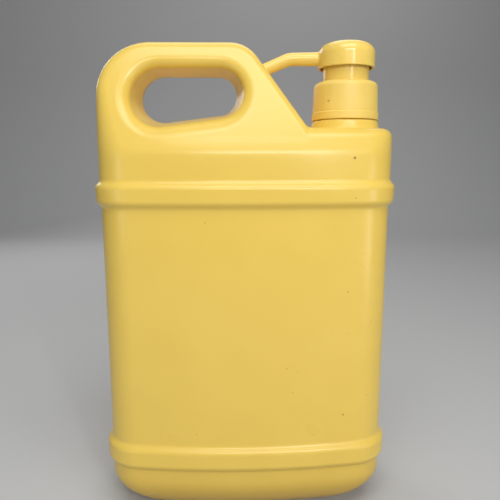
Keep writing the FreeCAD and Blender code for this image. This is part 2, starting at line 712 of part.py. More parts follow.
def add_piston(doc):
    """The piston with a lip at each end, pushed onto the stem's foot."""
    body = add_body(doc, "piston", NECK_X)
    top = "piston_base_z + piston_height"
    lip = "bore_radius - running_gap"
    hug = "stem_radius + seat_gap"
    turned(body, "piston_ring", [
        (hug, "piston_base_z"),
        (lip, "piston_base_z"),
        (lip, "piston_base_z + piston_lip"),
        ("piston_waist", "piston_base_z + 2 * piston_lip"),
        ("piston_waist", f"{top} - 2 * piston_lip"),
        (lip, f"{top} - piston_lip"),
        (lip, top),
        (hug, top),
    ])
    return body


def add_piston_seat(doc):
    """The flanged plug in the stem's foot that holds the piston up and takes the spring."""
    body = add_body(doc, "piston_seat", NECK_X)
    top = "piston_base_z - seat_gap"
    foot = f"{top} - seat_flange_thick"
    spigot = "stem_radius - stem_wall - seat_gap"
    turned(body, "seat_plug", [
        ("seat_bore", foot),
        ("seat_flange", foot),
        ("seat_flange", top),
        (spigot, top),
        (spigot, f"{top} + piston_height"),
        ("seat_bore", f"{top} + piston_height"),
    ])
    return body


SPRING_SEGMENT = 0.5  # turns of the spring in each of its faces


def add_spring(doc):
    """The return spring, squeezed between the housing's ledge and the piston seat."""
    low = "cylinder_floor_z + spring_wire / 2 + seat_gap"
    high = "piston_base_z - 2 * seat_gap - seat_flange_thick - spring_wire / 2"
    helix = doc.addObject("Part::Helix", "spring_path")
    helix.setExpression("Height", sized(f"({high}) - ({low})"))
    helix.setExpression("Pitch", sized(f"(({high}) - ({low})) / spring_turns"))
    helix.setExpression("Radius", sized("spring_radius"))
    helix.SegmentLength = SPRING_SEGMENT
    helix.setExpression("Placement.Base.z", sized(low))
    wire = doc.addObject("Part::Circle", "spring_section")
    wire.setExpression("Radius", sized("spring_wire / 2"))
    wire.Placement = Placement(Vector(0, 0, 0), Rotation(Vector(1, 0, 0), 90))
    wire.setExpression("Placement.Base.x", sized("spring_radius"))
    wire.setExpression("Placement.Base.z", sized(low))
    spring = doc.addObject("Part::Sweep", "return_spring")
    spring.Sections = [wire]
    spring.Spine = helix
    spring.Solid = True
    spring.Frenet = True
    spring.setExpression("Placement.Base.x", sized(NECK_X))
    return spring


def add_ball(doc, name, radius, seat, port):
    """One valve ball, resting in the cone that narrows to a port at the seat's height."""
    ball = doc.addObject("Part::Sphere", name)
    ball.setExpression("Radius", sized(radius))
    ball.setExpression("Placement.Base.x", sized(NECK_X))
    ball.setExpression("Placement.Base.z", sized(f"{seat} + sqrt(2) * {radius} - {port} + seat_gap"))
    return ball


def add_suction_ball(doc):
    """The ball that closes the housing's port while the head is pressed."""
    return add_ball(doc, "suction_ball", "ball_radius", SUCTION_SEAT, "valve_port")


def add_outlet_ball(doc):
    """The ball that closes the stem while the head rises."""
    return add_ball(doc, "outlet_ball", "outlet_ball_radius", OUTLET_SEAT, "seat_bore")


def add_dip_tube(doc):
    """The dip tube, held in the housing's socket and reaching down to the base."""
    body = add_body(doc, "dip_tube", NECK_X)
    top = "cylinder_floor_z - valve_seat_depth - cup_wall - socket_depth + tube_grip"
    turned(body, "tube_wall", [
        ("tube_radius - tube_wall", "tube_end_z"),
        ("tube_radius", "tube_end_z"),
        ("tube_radius", top),
        ("tube_radius - tube_wall", top),
    ])
    return body


def spout_stations():
    """Return name, distance out from the axis, height and lean of the spout's sections."""
    start = "(spout_run - spout_bend * tan(spout_droop / 2))"
    bend_x = f"({start} + spout_bend * sin(spout_droop))"
    bend_z = "(spout_z - spout_bend * (1 - cos(spout_droop)))"
    tip_x = f"{bend_x} + spout_end * cos(spout_droop)"
    tip_z = f"{bend_z} - spout_end * sin(spout_droop)"
    return (start, "spout_z"), (bend_x, bend_z), (tip_x, tip_z)


def spout_circle(body, name, x, z, radius, leaning):
    """Draw one round section of the spout, square to its run or to its drooping end."""
    profile = Profile(body, name, "YZ_Plane", ("0", z, f"-{x}"))
    if leaning:
        profile.tilt("spout_droop")
    profile.circle("0", "0", radius)
    return profile


def add_spout(body, name, root_x, radii, kind, round_kind):
    """Add or cut the spout's form: a straight run, a bend and a drooping end.

    radii are the expressions of the radius at the root, in the bend and at the tip.
    """
    root, middle, tip = radii
    (start_x, start_z), (bend_x, bend_z), (tip_x, tip_z) = spout_stations()
    sections = [
        spout_circle(body, f"{name}_root", root_x, "spout_z", root, False),
        spout_circle(body, f"{name}_start", start_x, start_z, middle, False),
    ]
    loft(body, f"{name}_run", sections, kind=kind)
    turning = spout_circle(body, f"{name}_turning", start_x, start_z, middle, False)
    drop = -turning.value("spout_bend")
    line = turning.sketch.addGeometry(Part.LineSegment(Vector(-1, drop, 0), Vector(1, drop, 0)), True)
    turning.place(line, 1, "-1", "-spout_bend")
    turning.place(line, 2, "1", "-spout_bend")
    bend = body.newObject(f"PartDesign::{round_kind}", f"{name}_bend")
    bend.Profile = turning.sketch
    bend.ReferenceAxis = (turning.sketch, ["Axis0"])
    bend.setExpression("Angle", sized("spout_droop"))
    bend.Reversed = True
    sections = [
        spout_circle(body, f"{name}_end", bend_x, bend_z, middle, True),
        spout_circle(body, f"{name}_tip", f"({tip_x})", f"({tip_z})", tip, True),
    ]
    loft(body, f"{name}_droop", sections, kind=kind)


def add_head(doc):
    """The press head: cap, skirt, boss on the stem and drooping spout, moulded in one."""
    body = add_body(doc, "press_head", NECK_X)
    body.Placement = Placement(body.Placement.Base, Rotation(Vector(0, 0, -1), worth(doc, "spout_turn")))
    body.setExpression("Placement.Rotation.Angle", sized("spout_turn"))
    hug = "stem_radius + seat_gap"
    ceiling = "head_top_z - head_wall"
    skirt = "head_radius - head_wall"
    chamber = "outlet_ball_radius + free_gap"
    shell = turned(body, "head_shell", [
        (hug, "boss_base_z"),
        ("boss_radius", "boss_base_z"),
        ("boss_radius", ceiling),
        (skirt, ceiling),
        (skirt, "head_base_z"),
        ("head_radius", "head_base_z"),
        ("head_radius", "head_top_z"),
        ("0", "head_top_z"),
        ("0", "spout_z + spout_bore + free_gap"),
        (chamber, "spout_z + spout_bore + free_gap"),
        (chamber, "stem_top_z + seat_gap"),
        (hug, "stem_top_z + seat_gap"),
    ])
    inner = soften(body, "head_hollow", shell, "head_round - head_wall", ring_at(doc, skirt, ceiling))
    soften(body, "head_edge", inner, "head_round", ring_at(doc, "head_radius", "head_top_z"))
    outer_radii = ("spout_root_radius", "(spout_root_radius + spout_tip_radius) / 2", "spout_tip_radius")
    add_spout(body, "spout", f"({hug} + seat_gap)", outer_radii, "AdditiveLoft", "Revolution")
    add_spout(body, "channel", "0", ("spout_bore",) * 3, "SubtractiveLoft", "Groove")
    return body


PIECES = (
    add_jug,
    add_closure,
    add_gasket,
    add_housing,
    add_chaplet,
    add_stem,
    add_piston,
    add_piston_seat,
    add_spring,
    add_suction_ball,
    add_outlet_ball,
    add_dip_tube,
    add_head,
)


def check(doc, pieces):
    """Stop if an object of the document failed or a piece isn't one sound solid."""
    for obj in doc.Objects:
        if "Invalid" in obj.State or "Error" in obj.State:
            raise RuntimeError(f"{obj.Name} failed: {obj.State}")
    for piece in pieces:
        shape = piece.Shape
        if shape.isNull() or not shape.isValid() or len(shape.Solids) != 1:
            raise RuntimeError(f"{piece.Label} isn't one sound solid")


def main():
    """Build every piece, check it and write its file."""
    doc = FreeCAD.newDocument("Jug")
    fill_sheet(doc)
    pieces = [add_piece(doc) for add_piece in PIECES]
    doc.recompute()
    check(doc, pieces)
    os.makedirs("parts", exist_ok=True)
    for piece in pieces:
        piece.Shape.exportStep(f"parts/{piece.Label}.step")
        print(f"{piece.Label}: {piece.Shape.Volume:.1f} mm3")


main()
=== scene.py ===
"""Yellow three-litre jug with a lotion pump: skins, finishes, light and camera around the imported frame.

Everything is in metres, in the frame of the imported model: +Z up, the standing surface at Z = 0, the grip
towards -X and the pump towards +X. Sizes are written in millimetres and scaled once, when a mesh is made.
"""

import logging
import math
from dataclasses import dataclass
from enum import Enum
from functools import cache
from typing import Callable, Union

import bpy
import numpy as np
from mathutils import Matrix, Vector


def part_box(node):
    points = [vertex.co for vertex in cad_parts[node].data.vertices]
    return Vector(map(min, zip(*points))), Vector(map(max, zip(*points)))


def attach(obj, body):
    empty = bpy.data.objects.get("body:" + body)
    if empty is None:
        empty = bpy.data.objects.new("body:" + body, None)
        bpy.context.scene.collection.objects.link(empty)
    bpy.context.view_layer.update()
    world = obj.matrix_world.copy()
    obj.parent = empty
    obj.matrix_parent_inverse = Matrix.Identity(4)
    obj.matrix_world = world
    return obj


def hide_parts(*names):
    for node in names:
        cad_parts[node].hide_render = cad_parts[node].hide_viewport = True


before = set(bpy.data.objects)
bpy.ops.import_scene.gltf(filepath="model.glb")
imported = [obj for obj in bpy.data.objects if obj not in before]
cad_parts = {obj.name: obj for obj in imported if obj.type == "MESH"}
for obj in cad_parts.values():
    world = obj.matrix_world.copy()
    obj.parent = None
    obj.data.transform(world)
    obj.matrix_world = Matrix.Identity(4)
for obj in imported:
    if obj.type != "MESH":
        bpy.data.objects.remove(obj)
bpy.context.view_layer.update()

LOG = logging.getLogger("jug")
MM = 0.001
X, Y, Z = 0, 1, 2
Field = Callable[[np.ndarray], np.ndarray]
Number = Union[float, "Signal"]
Size = Union[float, np.ndarray]
Triple = tuple[float, float, float]
Colour = tuple[float, float, float, float]


class Body(Enum):
    """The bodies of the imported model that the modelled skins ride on."""

    JUG = "jug"
    PUMP = "pump"
    CLOSURE = "closure"
    HEAD = "head"


def start_of(node: str, axis: int) -> float:
    """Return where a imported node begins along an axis, in millimetres."""
    return round(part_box(node)[0][axis] / MM, 2)


def end_of(node: str, axis: int) -> float:
    """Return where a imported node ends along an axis, in millimetres."""
    return round(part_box(node)[1][axis] / MM, 2)


PUMP_X = (start_of("screw_closure", X) + end_of("screw_closure", X)) / 2  # where the neck and the pump stand


# ----------------------------------------------------------------------------------------------------------
# Shader maths
# ----------------------------------------------------------------------------------------------------------


class Signal:
    """A value socket that takes part in arithmetic: each expression adds its Math nodes."""

    def __init__(self, graph: "Graph", socket: bpy.types.NodeSocket) -> None:
        """Wrap a socket.

        Args:
            graph: the node graph that the socket belongs to.
            socket: the output socket.
        """
        self.graph = graph
        self.socket = socket

    def _with(self, operation: str, left: Number, right: Number) -> "Signal":
        """Join two values with one Math node and return its output."""
        return self.graph.add("ShaderNodeMath", {"operation": operation}, {0: left, 1: right})

    def __add__(self, other: Number) -> "Signal":
        """Return self + other."""
        return self._with("ADD", self, other)

    def __radd__(self, other: Number) -> "Signal":
        """Return other + self."""
        return self._with("ADD", other, self)

    def __sub__(self, other: Number) -> "Signal":
        """Return self - other."""
        return self._with("SUBTRACT", self, other)

    def __rsub__(self, other: Number) -> "Signal":
        """Return other - self."""
        return self._with("SUBTRACT", other, self)

    def __mul__(self, other: Number) -> "Signal":
        """Return self * other."""
        return self._with("MULTIPLY", self, other)

    def __rmul__(self, other: Number) -> "Signal":
        """Return other * self."""
        return self._with("MULTIPLY", other, self)


class Wiring:
    """Adds nodes to a tree, and sets or links their sockets."""

    def __init__(self, tree: bpy.types.NodeTree) -> None:
        """Keep the tree that the nodes go to."""
        self.tree = tree

    def node(self, kind: str, settings: dict, values: dict) -> bpy.types.Node:
        """Add one node.

        Args:
            kind: the node's type.
            settings: attributes to set first, such as a Math node's operation.
            values: socket name or index to a number, tuple, Signal or socket.

        Returns:
            The node.
        """
        made = self.tree.nodes.new(kind)
        for name, value in settings.items():
            setattr(made, name, value)
        for name, value in values.items():
            target = made.inputs[name]
            if isinstance(value, Signal):
                self.tree.links.new(value.socket, target)
            elif isinstance(value, bpy.types.NodeSocket):
                self.tree.links.new(value, target)
            else:
                target.default_value = value
        return made


class Graph(Wiring):
    """The node graph of one material."""

    def __init__(self, name: str) -> None:
        """Start an empty material.

        Args:
            name: the material's name.
        """
        self.material = bpy.data.materials.new(name)
        self.material.use_nodes = True
        super().__init__(self.material.node_tree)
        self.tree.nodes.clear()

    def add(self, kind: str, settings: dict, values: dict, output: Union[int, str] = 0) -> Signal:
        """Add one node and return one of its outputs as a Signal."""
        return Signal(self, self.node(kind, settings, values).outputs[output])

    def place(self) -> bpy.types.NodeSocket:
        """Return the object coordinates."""
        return self.node("ShaderNodeTexCoord", {}, {}).outputs["Object"]

    def height(self) -> Signal:
        """Return the height above the floor."""
        return self.add("ShaderNodeSeparateXYZ", {}, {"Vector": self.place()}, "Z")

    def noise(self, size: float, detail: float = 3.0, stretch: Triple = (1.0, 1.0, 1.0)) -> Signal:
        """Return a noise from 0 to 1.

        Args:
            size: the size of its patches, in metres.
            detail: how many finer octaves it has.
            stretch: how much finer it is along each axis.

        Returns:
            The noise's value.
        """
        stretched = self.node("ShaderNodeMapping", {}, {"Vector": self.place(), "Scale": stretch})
        values = {"Vector": stretched.outputs[0], "Scale": 1.0 / size, "Detail": detail, "Roughness": 0.55}
        return self.add("ShaderNodeTexNoise", {"noise_dimensions": "3D"}, values, "Fac")

    def ramp(self, value: Signal, low: float, high: float, bottom: float = 0.0, top: float = 1.0) -> Signal:
        """Map value from low..high to bottom..top, smoothly and clamped."""
        values = {"Value": value, "From Min": low, "From Max": high, "To Min": bottom, "To Max": top}
        return self.add("ShaderNodeMapRange", {"interpolation_type": "SMOOTHSTEP"}, values)

    def mixed(self, share: Number, first: object, second: object) -> bpy.types.NodeSocket:
        """Return a colour that goes from first to second as share goes from 0 to 1."""
        made = self.node("ShaderNodeMix", {"data_type": "RGBA"}, {0: share, 6: first, 7: second})
        return made.outputs[2]

    def bumped(self, height: Signal, distance: float) -> bpy.types.NodeSocket:
        """Return a normal bent by a height from 0 to 1 that stands for this distance in metres."""
        values = {"Strength": 1.0, "Distance": distance, "Height": height}
        return self.node("ShaderNodeBump", {}, values).outputs[0]

    def finish(self, values: dict) -> bpy.types.Material:
        """Join a Principled shader to the output.

        Args:
            values: the shader's values and links.

        Returns:
            The finished material.
        """
        shader = self.node("ShaderNodeBsdfPrincipled", {}, values)
        self.node("ShaderNodeOutputMaterial", {}, {"Surface": shader.outputs[0]})
        return self.material


def darker(colour: Colour, share: float) -> Colour:
    """Return this share of a colour, opaque."""
    red, green, blue, _ = colour
    return (share * red, share * green, share * blue, 1.0)


NOISE_SPAN = (0.2, 0.8)  # the values that a noise seldom passes
PLASTIC_IOR = 1.5
GLOW_RADIUS: Triple = (1.0, 0.6, 0.2)  # how far red, green and blue spread in yellow plastic


@dataclass(frozen=True)
class MouldedPlastic:
    """A dyed or natural plastic with a faint mottle and the fine unevenness of its mould."""

    name: str
    colour: Colour
    shade: Colour
    gloss: float = 0.36
    gloss_play: float = 0.08
    mottle_size: float = 0.02
    sheen_ratio: float = 1.4
    fine_share: float = 0.3
    grain_size: float = 0.0012
    grain_depth: float = 0.00001
    wave_size: float = 0.012
    wave_stretch: Triple = (1.0, 1.0, 0.5)
    wave_depth: float = 0.00006
    depth_of_glow: float = 0.0
    glow_share: float = 0.0
    specks: tuple = ()
    # painted shade: a darker colour that the walls blend to towards the base, and the height where it fades
    # out
    painted_base_shade: Colour = (0.0, 0.0, 0.0, 0.0)
    painted_shade_height: float = 0.0

    def spotted(self, graph: Graph, colour: bpy.types.NodeSocket) -> bpy.types.NodeSocket:
        """Darken the colour at each speck of burnt plastic on the front face.

        Args:
            graph: the material's graph.
            colour: the clean colour.

        Returns:
            The colour with its specks.
        """
        place = graph.place()
        depth = graph.add("ShaderNodeSeparateXYZ", {}, {"Vector": place}, "Y")
        front = 1 - graph.ramp(depth, -0.01, 0.0)
        flat = graph.node("ShaderNodeVectorMath", {"operation": "MULTIPLY"}, {0: place, 1: (1, 0, 1)})
        for x, z, radius, strength in self.specks:
            ends = {0: flat.outputs[0], 1: (x * MM, 0, z * MM)}
            away = graph.node("ShaderNodeVectorMath", {"operation": "DISTANCE"}, ends)
            outside = graph.ramp(Signal(graph, away.outputs["Value"]), SPECK_CORE * radius * MM, radius * MM)
            colour = graph.mixed((1 - outside) * front * strength, colour, SPECK_COLOUR)
        return colour

    def material(self) -> bpy.types.Material:
        """Build the material.

        Returns:
            The material: colour with its mottle, painted shade darker towards the base, and specks, sheen,
                and bump of waves and grain.
        """
        graph = Graph(self.name)
        mottle = graph.ramp(graph.noise(self.mottle_size, 1.0), *NOISE_SPAN)
        fine = graph.noise(self.grain_size, 2.0)
        wave = graph.noise(self.wave_size, 0.0, self.wave_stretch)
        blend = mottle * (1 - self.fine_share) + fine * self.fine_share
        colour = graph.mixed(blend, self.colour, self.shade)
        # painted shade: the colour grows darker towards the base, standing in for shade falling there
        if self.painted_shade_height:
            colour = graph.mixed(1 - graph.ramp(graph.height(), 0.0, self.painted_shade_height), colour, self.painted_base_shade)
        if self.specks:
            colour = self.spotted(graph, colour)
        sheen = graph.noise(self.mottle_size * self.sheen_ratio, 1.0)
        roughness = graph.ramp(sheen, *NOISE_SPAN, self.gloss, self.gloss + self.gloss_play)
        relief = self.wave_depth + self.grain_depth
        uneven = wave * (self.wave_depth / relief) + fine * (self.grain_depth / relief)
        values = {
            "Base Color": colour,
            "Roughness": roughness,
            "IOR": PLASTIC_IOR,
            "Normal": graph.bumped(uneven, relief),
        }
        if self.glow_share:
            values["Subsurface Weight"] = self.glow_share
            values["Subsurface Radius"] = GLOW_RADIUS
            values["Subsurface Scale"] = self.depth_of_glow
        return graph.finish(values)


@dataclass(frozen=True)
class PolishedSteel:
    """Steel with fine drawing or grinding marks."""

    name: str
    colour: Colour
    roughness: float
    mark_size: float
    mark_depth: float
    roughness_play: float = 0.12
    wear: float = 0.5
    worn_share: float = 0.8

    def material(self) -> bpy.types.Material:
        """Build the material.

        Returns:
            The material: worn colour, and marks in its roughness and bump.
        """
        graph = Graph(self.name)
        marks = graph.noise(self.mark_size, 5.0, (1.0, 1.0, 6.0))
        worn = graph.ramp(graph.noise(self.mark_size * 6, 3.0), 0.35, 0.65)
        values = {
            "Base Color": graph.mixed(worn * self.wear, self.colour, darker(self.colour, self.worn_share)),
            "Metallic": 1.0,
            "Roughness": graph.ramp(marks, 0.3, 0.7, self.roughness, self.roughness + self.roughness_play),
            "Normal": graph.bumped(marks, self.mark_depth),
        }
        return graph.finish(values)


Finish = Union[MouldedPlastic, PolishedSteel]


@cache
def material_of(finish: Finish) -> bpy.types.Material:
    """Return a finish's material, which all its pieces share."""
    return finish.material()


SPECK_COLOUR: Colour = (0.30, 0.12, 0.03, 1.0)
SPECK_CORE = 0.35  # share of a speck's radius that is fully dark

# Specks of burnt plastic on the jug's front: X, Z and radius in millimetres, and how dark each is.
SPECKS = (
    (61.3, 223.7, 1.05, 0.95),
    (-23.9, 187.6, 0.75, 0.35),
    (61.9, 201.1, 0.75, 0.4),
    (59.7, 145.6, 0.85, 0.45),
    (75.0, 126.0, 0.65, 0.35),
    (23.6, 99.6, 0.7, 0.4),
    (30.1, 96.7, 0.6, 0.3),
    (8.3, 85.1, 0.6, 0.3),
    (27.5, 84.0, 0.65, 0.4),
    (74.2, 78.9, 0.6, 0.35),
    (59.0, 67.7, 0.95, 0.65),
    (40.8, 55.8, 0.7, 0.35),
    (-31.1, 57.6, 0.65, 0.35),
)

JUG_FINISH = MouldedPlastic(
    "jug_plastic",
    colour=(0.810, 0.572, 0.108, 1.0),
    shade=(0.780, 0.542, 0.096, 1.0),
    gloss=0.27,
    gloss_play=0.03,
    mottle_size=0.030,
    grain_depth=0.000003,
    wave_size=0.020,
    wave_depth=0.00005,
    specks=SPECKS,
    # painted shade: the lowest walls darken towards the floor
    painted_base_shade=(0.500, 0.310, 0.045, 1.0),
    painted_shade_height=0.038,
)
CLOSURE_FINISH = MouldedPlastic(
    "closure_plastic",
    colour=(0.850, 0.610, 0.145, 1.0),
    shade=(0.815, 0.575, 0.130, 1.0),
    specks=((50.2, 257.9, 0.9, 0.5),),
    gloss=0.42,
    mottle_size=0.009,
    grain_size=0.0007,
    grain_depth=0.000015,
    wave_depth=0.00002,
    glow_share=0.2,
    depth_of_glow=0.002,
)
HEAD_FINISH = MouldedPlastic(
    "head_plastic",
    colour=(0.860, 0.615, 0.140, 1.0),
    shade=(0.830, 0.585, 0.128, 1.0),
    gloss=0.16,
    gloss_play=0.05,
    mottle_size=0.010,
    grain_size=0.0009,
    grain_depth=0.000006,
    wave_depth=0.00002,
    glow_share=0.2,
    depth_of_glow=0.002,
)
NATURAL_FINISH = MouldedPlastic(
    "natural_plastic",
    colour=(0.80, 0.80, 0.74, 1.0),
    shade=(0.74, 0.74, 0.67, 1.0),
    gloss=0.30,
    mottle_size=0.008,
    glow_share=0.4,
    depth_of_glow=0.003,
)
PISTON_FINISH = MouldedPlastic(
    "piston_plastic",
    colour=(0.86, 0.86, 0.83, 1.0),
    shade=(0.80, 0.80, 0.77, 1.0),
    gloss=0.35,
    mottle_size=0.004,
    glow_share=0.3,
    depth_of_glow=0.002,
)
GASKET_FINISH = MouldedPlastic(
    "gasket_foam",
    colour=(0.88, 0.88, 0.85, 1.0),
    shade=(0.78, 0.78, 0.75, 1.0),
    gloss=0.75,
    gloss_play=0.15,
    mottle_size=0.002,
    grain_size=0.0004,
    grain_depth=0.00006,
)
SPRING_FINISH = PolishedSteel("spring_steel", (0.62, 0.62, 0.63, 1.0), 0.22, 0.0008, 0.000008)
BALL_FINISH = PolishedSteel("ball_steel", (0.75, 0.75, 0.76, 1.0), 0.08, 0.0006, 0.000002)


# ----------------------------------------------------------------------------------------------------------
# Implicit forms and their meshes; all lengths in millimetres
# ----------------------------------------------------------------------------------------------------------


def round_meet(first: np.ndarray, second: np.ndarray, radius: Size, cosine: Size = 0.0) -> np.ndarray:
    """Intersect two forms and round the edge where they meet.

    Args:
        first: signed distances to one form, negative inside.
        second: signed distances to the other.
        radius: the edge's radius, above 0.
        cosine: of the angle between the two forms' outward directions.

    Returns:
        Signed distances to the intersection.
    """
    a = first + radius
    b = second + radius
    square = (a * a + b * b - 2 * cosine * a * b) / (1 - cosine * cosine)
    in_round = (a > cosine * b) & (b > cosine * a)
    return np.where(in_round, np.sqrt(np.maximum(square, 0)), np.maximum(a, b)) - radius


def round_join(first: np.ndarray, second: np.ndarray, radius: Size) -> np.ndarray:
    """Join two forms and fill the corner between them with a fillet of this radius."""
    return -round_meet(-first, -second, radius)


def eased(value: np.ndarray, low: float, high: float) -> np.ndarray:
    """Return 0 below low and 1 above high, with a smooth step between."""
    share = np.clip((value - low) / (high - low), 0, 1)
    return share * share * (3 - 2 * share)


def levels(*spans: tuple[float, float, float]) -> np.ndarray:
    """Divide spans of (start, end, step) evenly and return all their levels in order."""
    parts = [np.linspace(a, b, max(1, round(abs(b - a) / step)) + 1)[:-1] for a, b, step in spans]
    return np.concatenate(parts + [np.array([spans[-1][1]])])


@dataclass
class Skin:
    """Points, four-sided faces and point normals of a mesh, in millimetres."""

    points: np.ndarray
    faces: np.ndarray
    normals: np.ndarray


SHORT = 0.01  # a length too short to show, in millimetres
CELL_CORNERS = [(i, j, k) for i in (0, 1) for j in (0, 1) for k in (0, 1)]
CELL_EDGES = [(a, b) for a in range(8) for b in range(a + 1, 8) if bin(a ^ b).count("1") == 1]
RING = ((0, 0), (1, 0), (1, 1), (0, 1))


def edges_of(faces: np.ndarray) -> np.ndarray:
    """Return the directed edges of four-sided faces, as pairs of point numbers."""
    return np.concatenate([faces[:, [side, (side + 1) % 4]] for side in range(4)])


def open_edges(faces: np.ndarray) -> np.ndarray:
    """Find the edges that only one face has.

    Args:
        faces: four-sided faces.

    Returns:
        The directed edges around the openings.
    """
    edges = edges_of(faces).astype(np.int64)
    count = faces.max() + 1
    there = edges[:, 0] * count + edges[:, 1]
    back = edges[:, 1] * count + edges[:, 0]
    return edges[~np.isin(back, there)]


class Mesher:
    """Turns an implicit form into an even skin of four-sided faces on a grid of its own spacing."""

    def __init__(self, form: Field, xs: np.ndarray, ys: np.ndarray, zs: np.ndarray) -> None:
        """Keep the form and the grid's levels along each axis, in millimetres."""
        self.form = form
        self.axes = (xs, ys, zs)

    def gradient(self, points: np.ndarray, reach: float = 0.02) -> np.ndarray:
        """Work out the form's gradient.

        Args:
            points: where, in millimetres.
            reach: the short distance each way over which differences are taken.

        Returns:
            The gradient at each point.
        """
        slopes = []
        for axis in range(3):
            step = np.zeros(3)
            step[axis] = reach
            slopes.append((self.form(points + step) - self.form(points - step)) / (2 * reach))
        return np.stack(slopes, 1)

    def settle(self, points: np.ndarray, limit: float, rounds: int = 4) -> np.ndarray:
        """Move points onto the form's surface.

        Args:
            points: points near the surface.
            limit: the furthest that a point moves in one round.
            rounds: how many rounds there are.

        Returns:
            The moved points.
        """
        for _ in range(rounds):
            slope = self.gradient(points)
            steep = np.maximum((slope * slope).sum(1), 1e-6)
            move = -slope * (self.form(points) / steep)[:, None]
            far = np.linalg.norm(move, axis=1)
            points = points + move * np.minimum(1.0, limit / np.maximum(far, 1e-9))[:, None]
        return points

    def relax(self, points: np.ndarray, faces: np.ndarray, rounds: int = 2) -> np.ndarray:
        """Even the faces out: draw each point halfway to its neighbours' mean and settle it again.

        Args:
            points: points on the surface.
            faces: the faces between them.
            rounds: how many rounds there are.

        Returns:
            The moved points.
        """
        ends = np.unique(np.sort(edges_of(faces), 1), axis=0)
        count = np.bincount(ends.ravel(), minlength=len(points))[:, None]
        for _ in range(rounds):
            total = np.zeros_like(points)
            for axis in range(3):
                sums = np.bincount(ends[:, 0], points[ends[:, 1], axis], len(points))
                sums += np.bincount(ends[:, 1], points[ends[:, 0], axis], len(points))
                total[:, axis] = sums
            mean = total / np.maximum(count, 1)
            points = self.settle(points + 0.5 * (mean - points), limit=0.6, rounds=2)
        return points

    def skin(self, relaxing: int = 2) -> Skin:
        """Build the skin.

        Args:
            relaxing: rounds of evening out.

        Returns:
            The skin, open where the form leaves the grid.
        """
        grid = np.stack(np.meshgrid(*self.axes, indexing="ij"), -1)
        shape = grid.shape[:3]
        values = self.form(grid.reshape(-1, 3)).reshape(shape)
        inside = values < 0

        def corner(array: np.ndarray, which: tuple) -> np.ndarray:
            """Return one corner's value for each cell."""
            i, j, k = which
            return array[i : shape[0] - 1 + i, j : shape[1] - 1 + j, k : shape[2] - 1 + k]

        filled = sum(corner(inside, which).astype(int) for which in CELL_CORNERS)
        active = (filled > 0) & (filled < 8)
        number = np.full(active.shape, -1)
        number[active] = np.arange(active.sum())
        total = np.zeros((active.sum(), 3))
        hits = np.zeros(active.sum())
        for a, b in CELL_EDGES:
            va = corner(values, CELL_CORNERS[a])[active]
            vb = corner(values, CELL_CORNERS[b])[active]
            crossed = (va < 0) != (vb < 0)
            share = np.where(crossed, va / np.where(crossed, va - vb, 1), 0)[:, None]
            pa = corner(grid, CELL_CORNERS[a])[active]
            pb = corner(grid, CELL_CORNERS[b])[active]
            total += np.where(crossed[:, None], pa + share * (pb - pa), 0)
            hits += crossed
        points = total / hits[:, None]
        faces = np.concatenate([self._faces(inside, number, axis) for axis in range(3)])
        points = self.settle(points, limit=0.8)
        points = self.relax(points, faces, relaxing)
        slope = self.gradient(points)
        normals = slope / np.maximum(np.linalg.norm(slope, axis=1), 1e-9)[:, None]
        return Skin(points, faces, normals)

    def _faces(self, inside: np.ndarray, number: np.ndarray, axis: int) -> np.ndarray:
        """Join the cells around each of the grid's edges that the surface crosses along one axis.

        Args:
            inside: which grid points are inside the form.
            number: each cell's point number.
            axis: the axis, from 0 to 2.

        Returns:
            The faces, facing outwards.
        """
        order = (axis, (axis + 1) % 3, (axis + 2) % 3)
        inside = inside.transpose(order)
        number = number.transpose(order)
        start = inside[:-1, 1:-1, 1:-1]
        stop = inside[1:, 1:-1, 1:-1]
        ring = [number[:, a : number.shape[1] - 1 + a, b : number.shape[2] - 1 + b] for a, b in RING]
        outward = start & ~stop
        inward = stop & ~start
        out = np.stack([cell[outward] for cell in ring], 1)
        back = np.stack([cell[inward] for cell in ring[::-1]], 1)
        return np.concatenate([out, back])


def placed(name: str, data: bpy.types.ID) -> bpy.types.Object:
    """Put new data into the scene as an object at the origin.

    Args:
        name: the object's name.
        data: its mesh, light or camera.

    Returns:
        The object.
    """
    made = bpy.data.objects.new(name, data)
    bpy.context.scene.collection.objects.link(made)
    return made


def smooth(mesh: bpy.types.Mesh) -> None:
    """Shade all of a mesh smoothly."""
    mesh.polygons.foreach_set("use_smooth", [True] * len(mesh.polygons))


def as_piece(mesh: bpy.types.Mesh, body: Body) -> bpy.types.Object:
    """Make a piece of the scene from a finished mesh.

    Args:
        mesh: the mesh, whose name the piece takes.
        body: the body that it rides on.

    Returns:
        The piece.
    """
    piece = placed(mesh.name, mesh)
    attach(piece, body.value)
    LOG.info("%s: %d points, %d faces, on %s", mesh.name, len(mesh.vertices), len(mesh.polygons), body.value)
    return piece


def as_shell(
    name: str, skin: Skin, finish: MouldedPlastic, body: Body, node: str
) -> bpy.types.Object:
    """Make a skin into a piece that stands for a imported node.

    Args:
        name: the piece's name.
        skin: its points, faces and normals, in millimetres.
        finish: its finish.
        body: the body that it rides on.
        node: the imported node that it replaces.

    Returns:
        The piece.
    """
    mesh = bpy.data.meshes.new(name)
    mesh.from_pydata((skin.points * MM).tolist(), [], skin.faces.tolist())
    smooth(mesh)
    mesh.normals_split_custom_set_from_vertices(skin.normals.tolist())
    mesh.materials.append(material_of(finish))
    piece = as_piece(mesh, body)
    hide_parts(node)
    return piece


def with_wall(skin: Skin, wall: np.ndarray) -> Skin:
    """Give an open skin a wall inwards.

    Args:
        skin: the outside, open at its mouth.
        wall: the wall's thickness at each point.

    Returns:
        One closed skin: outside, inside and the rim that joins them.
    """
    count = len(skin.points)
    inner = skin.points - skin.normals * wall[:, None]
    rim = open_edges(skin.faces)
    joining = np.stack([rim[:, 1], rim[:, 0], rim[:, 0] + count, rim[:, 1] + count], 1)
    faces = np.concatenate([skin.faces, skin.faces[:, ::-1] + count, joining])
    return Skin(np.concatenate([skin.points, inner]), faces, np.concatenate([skin.normals, -skin.normals]))


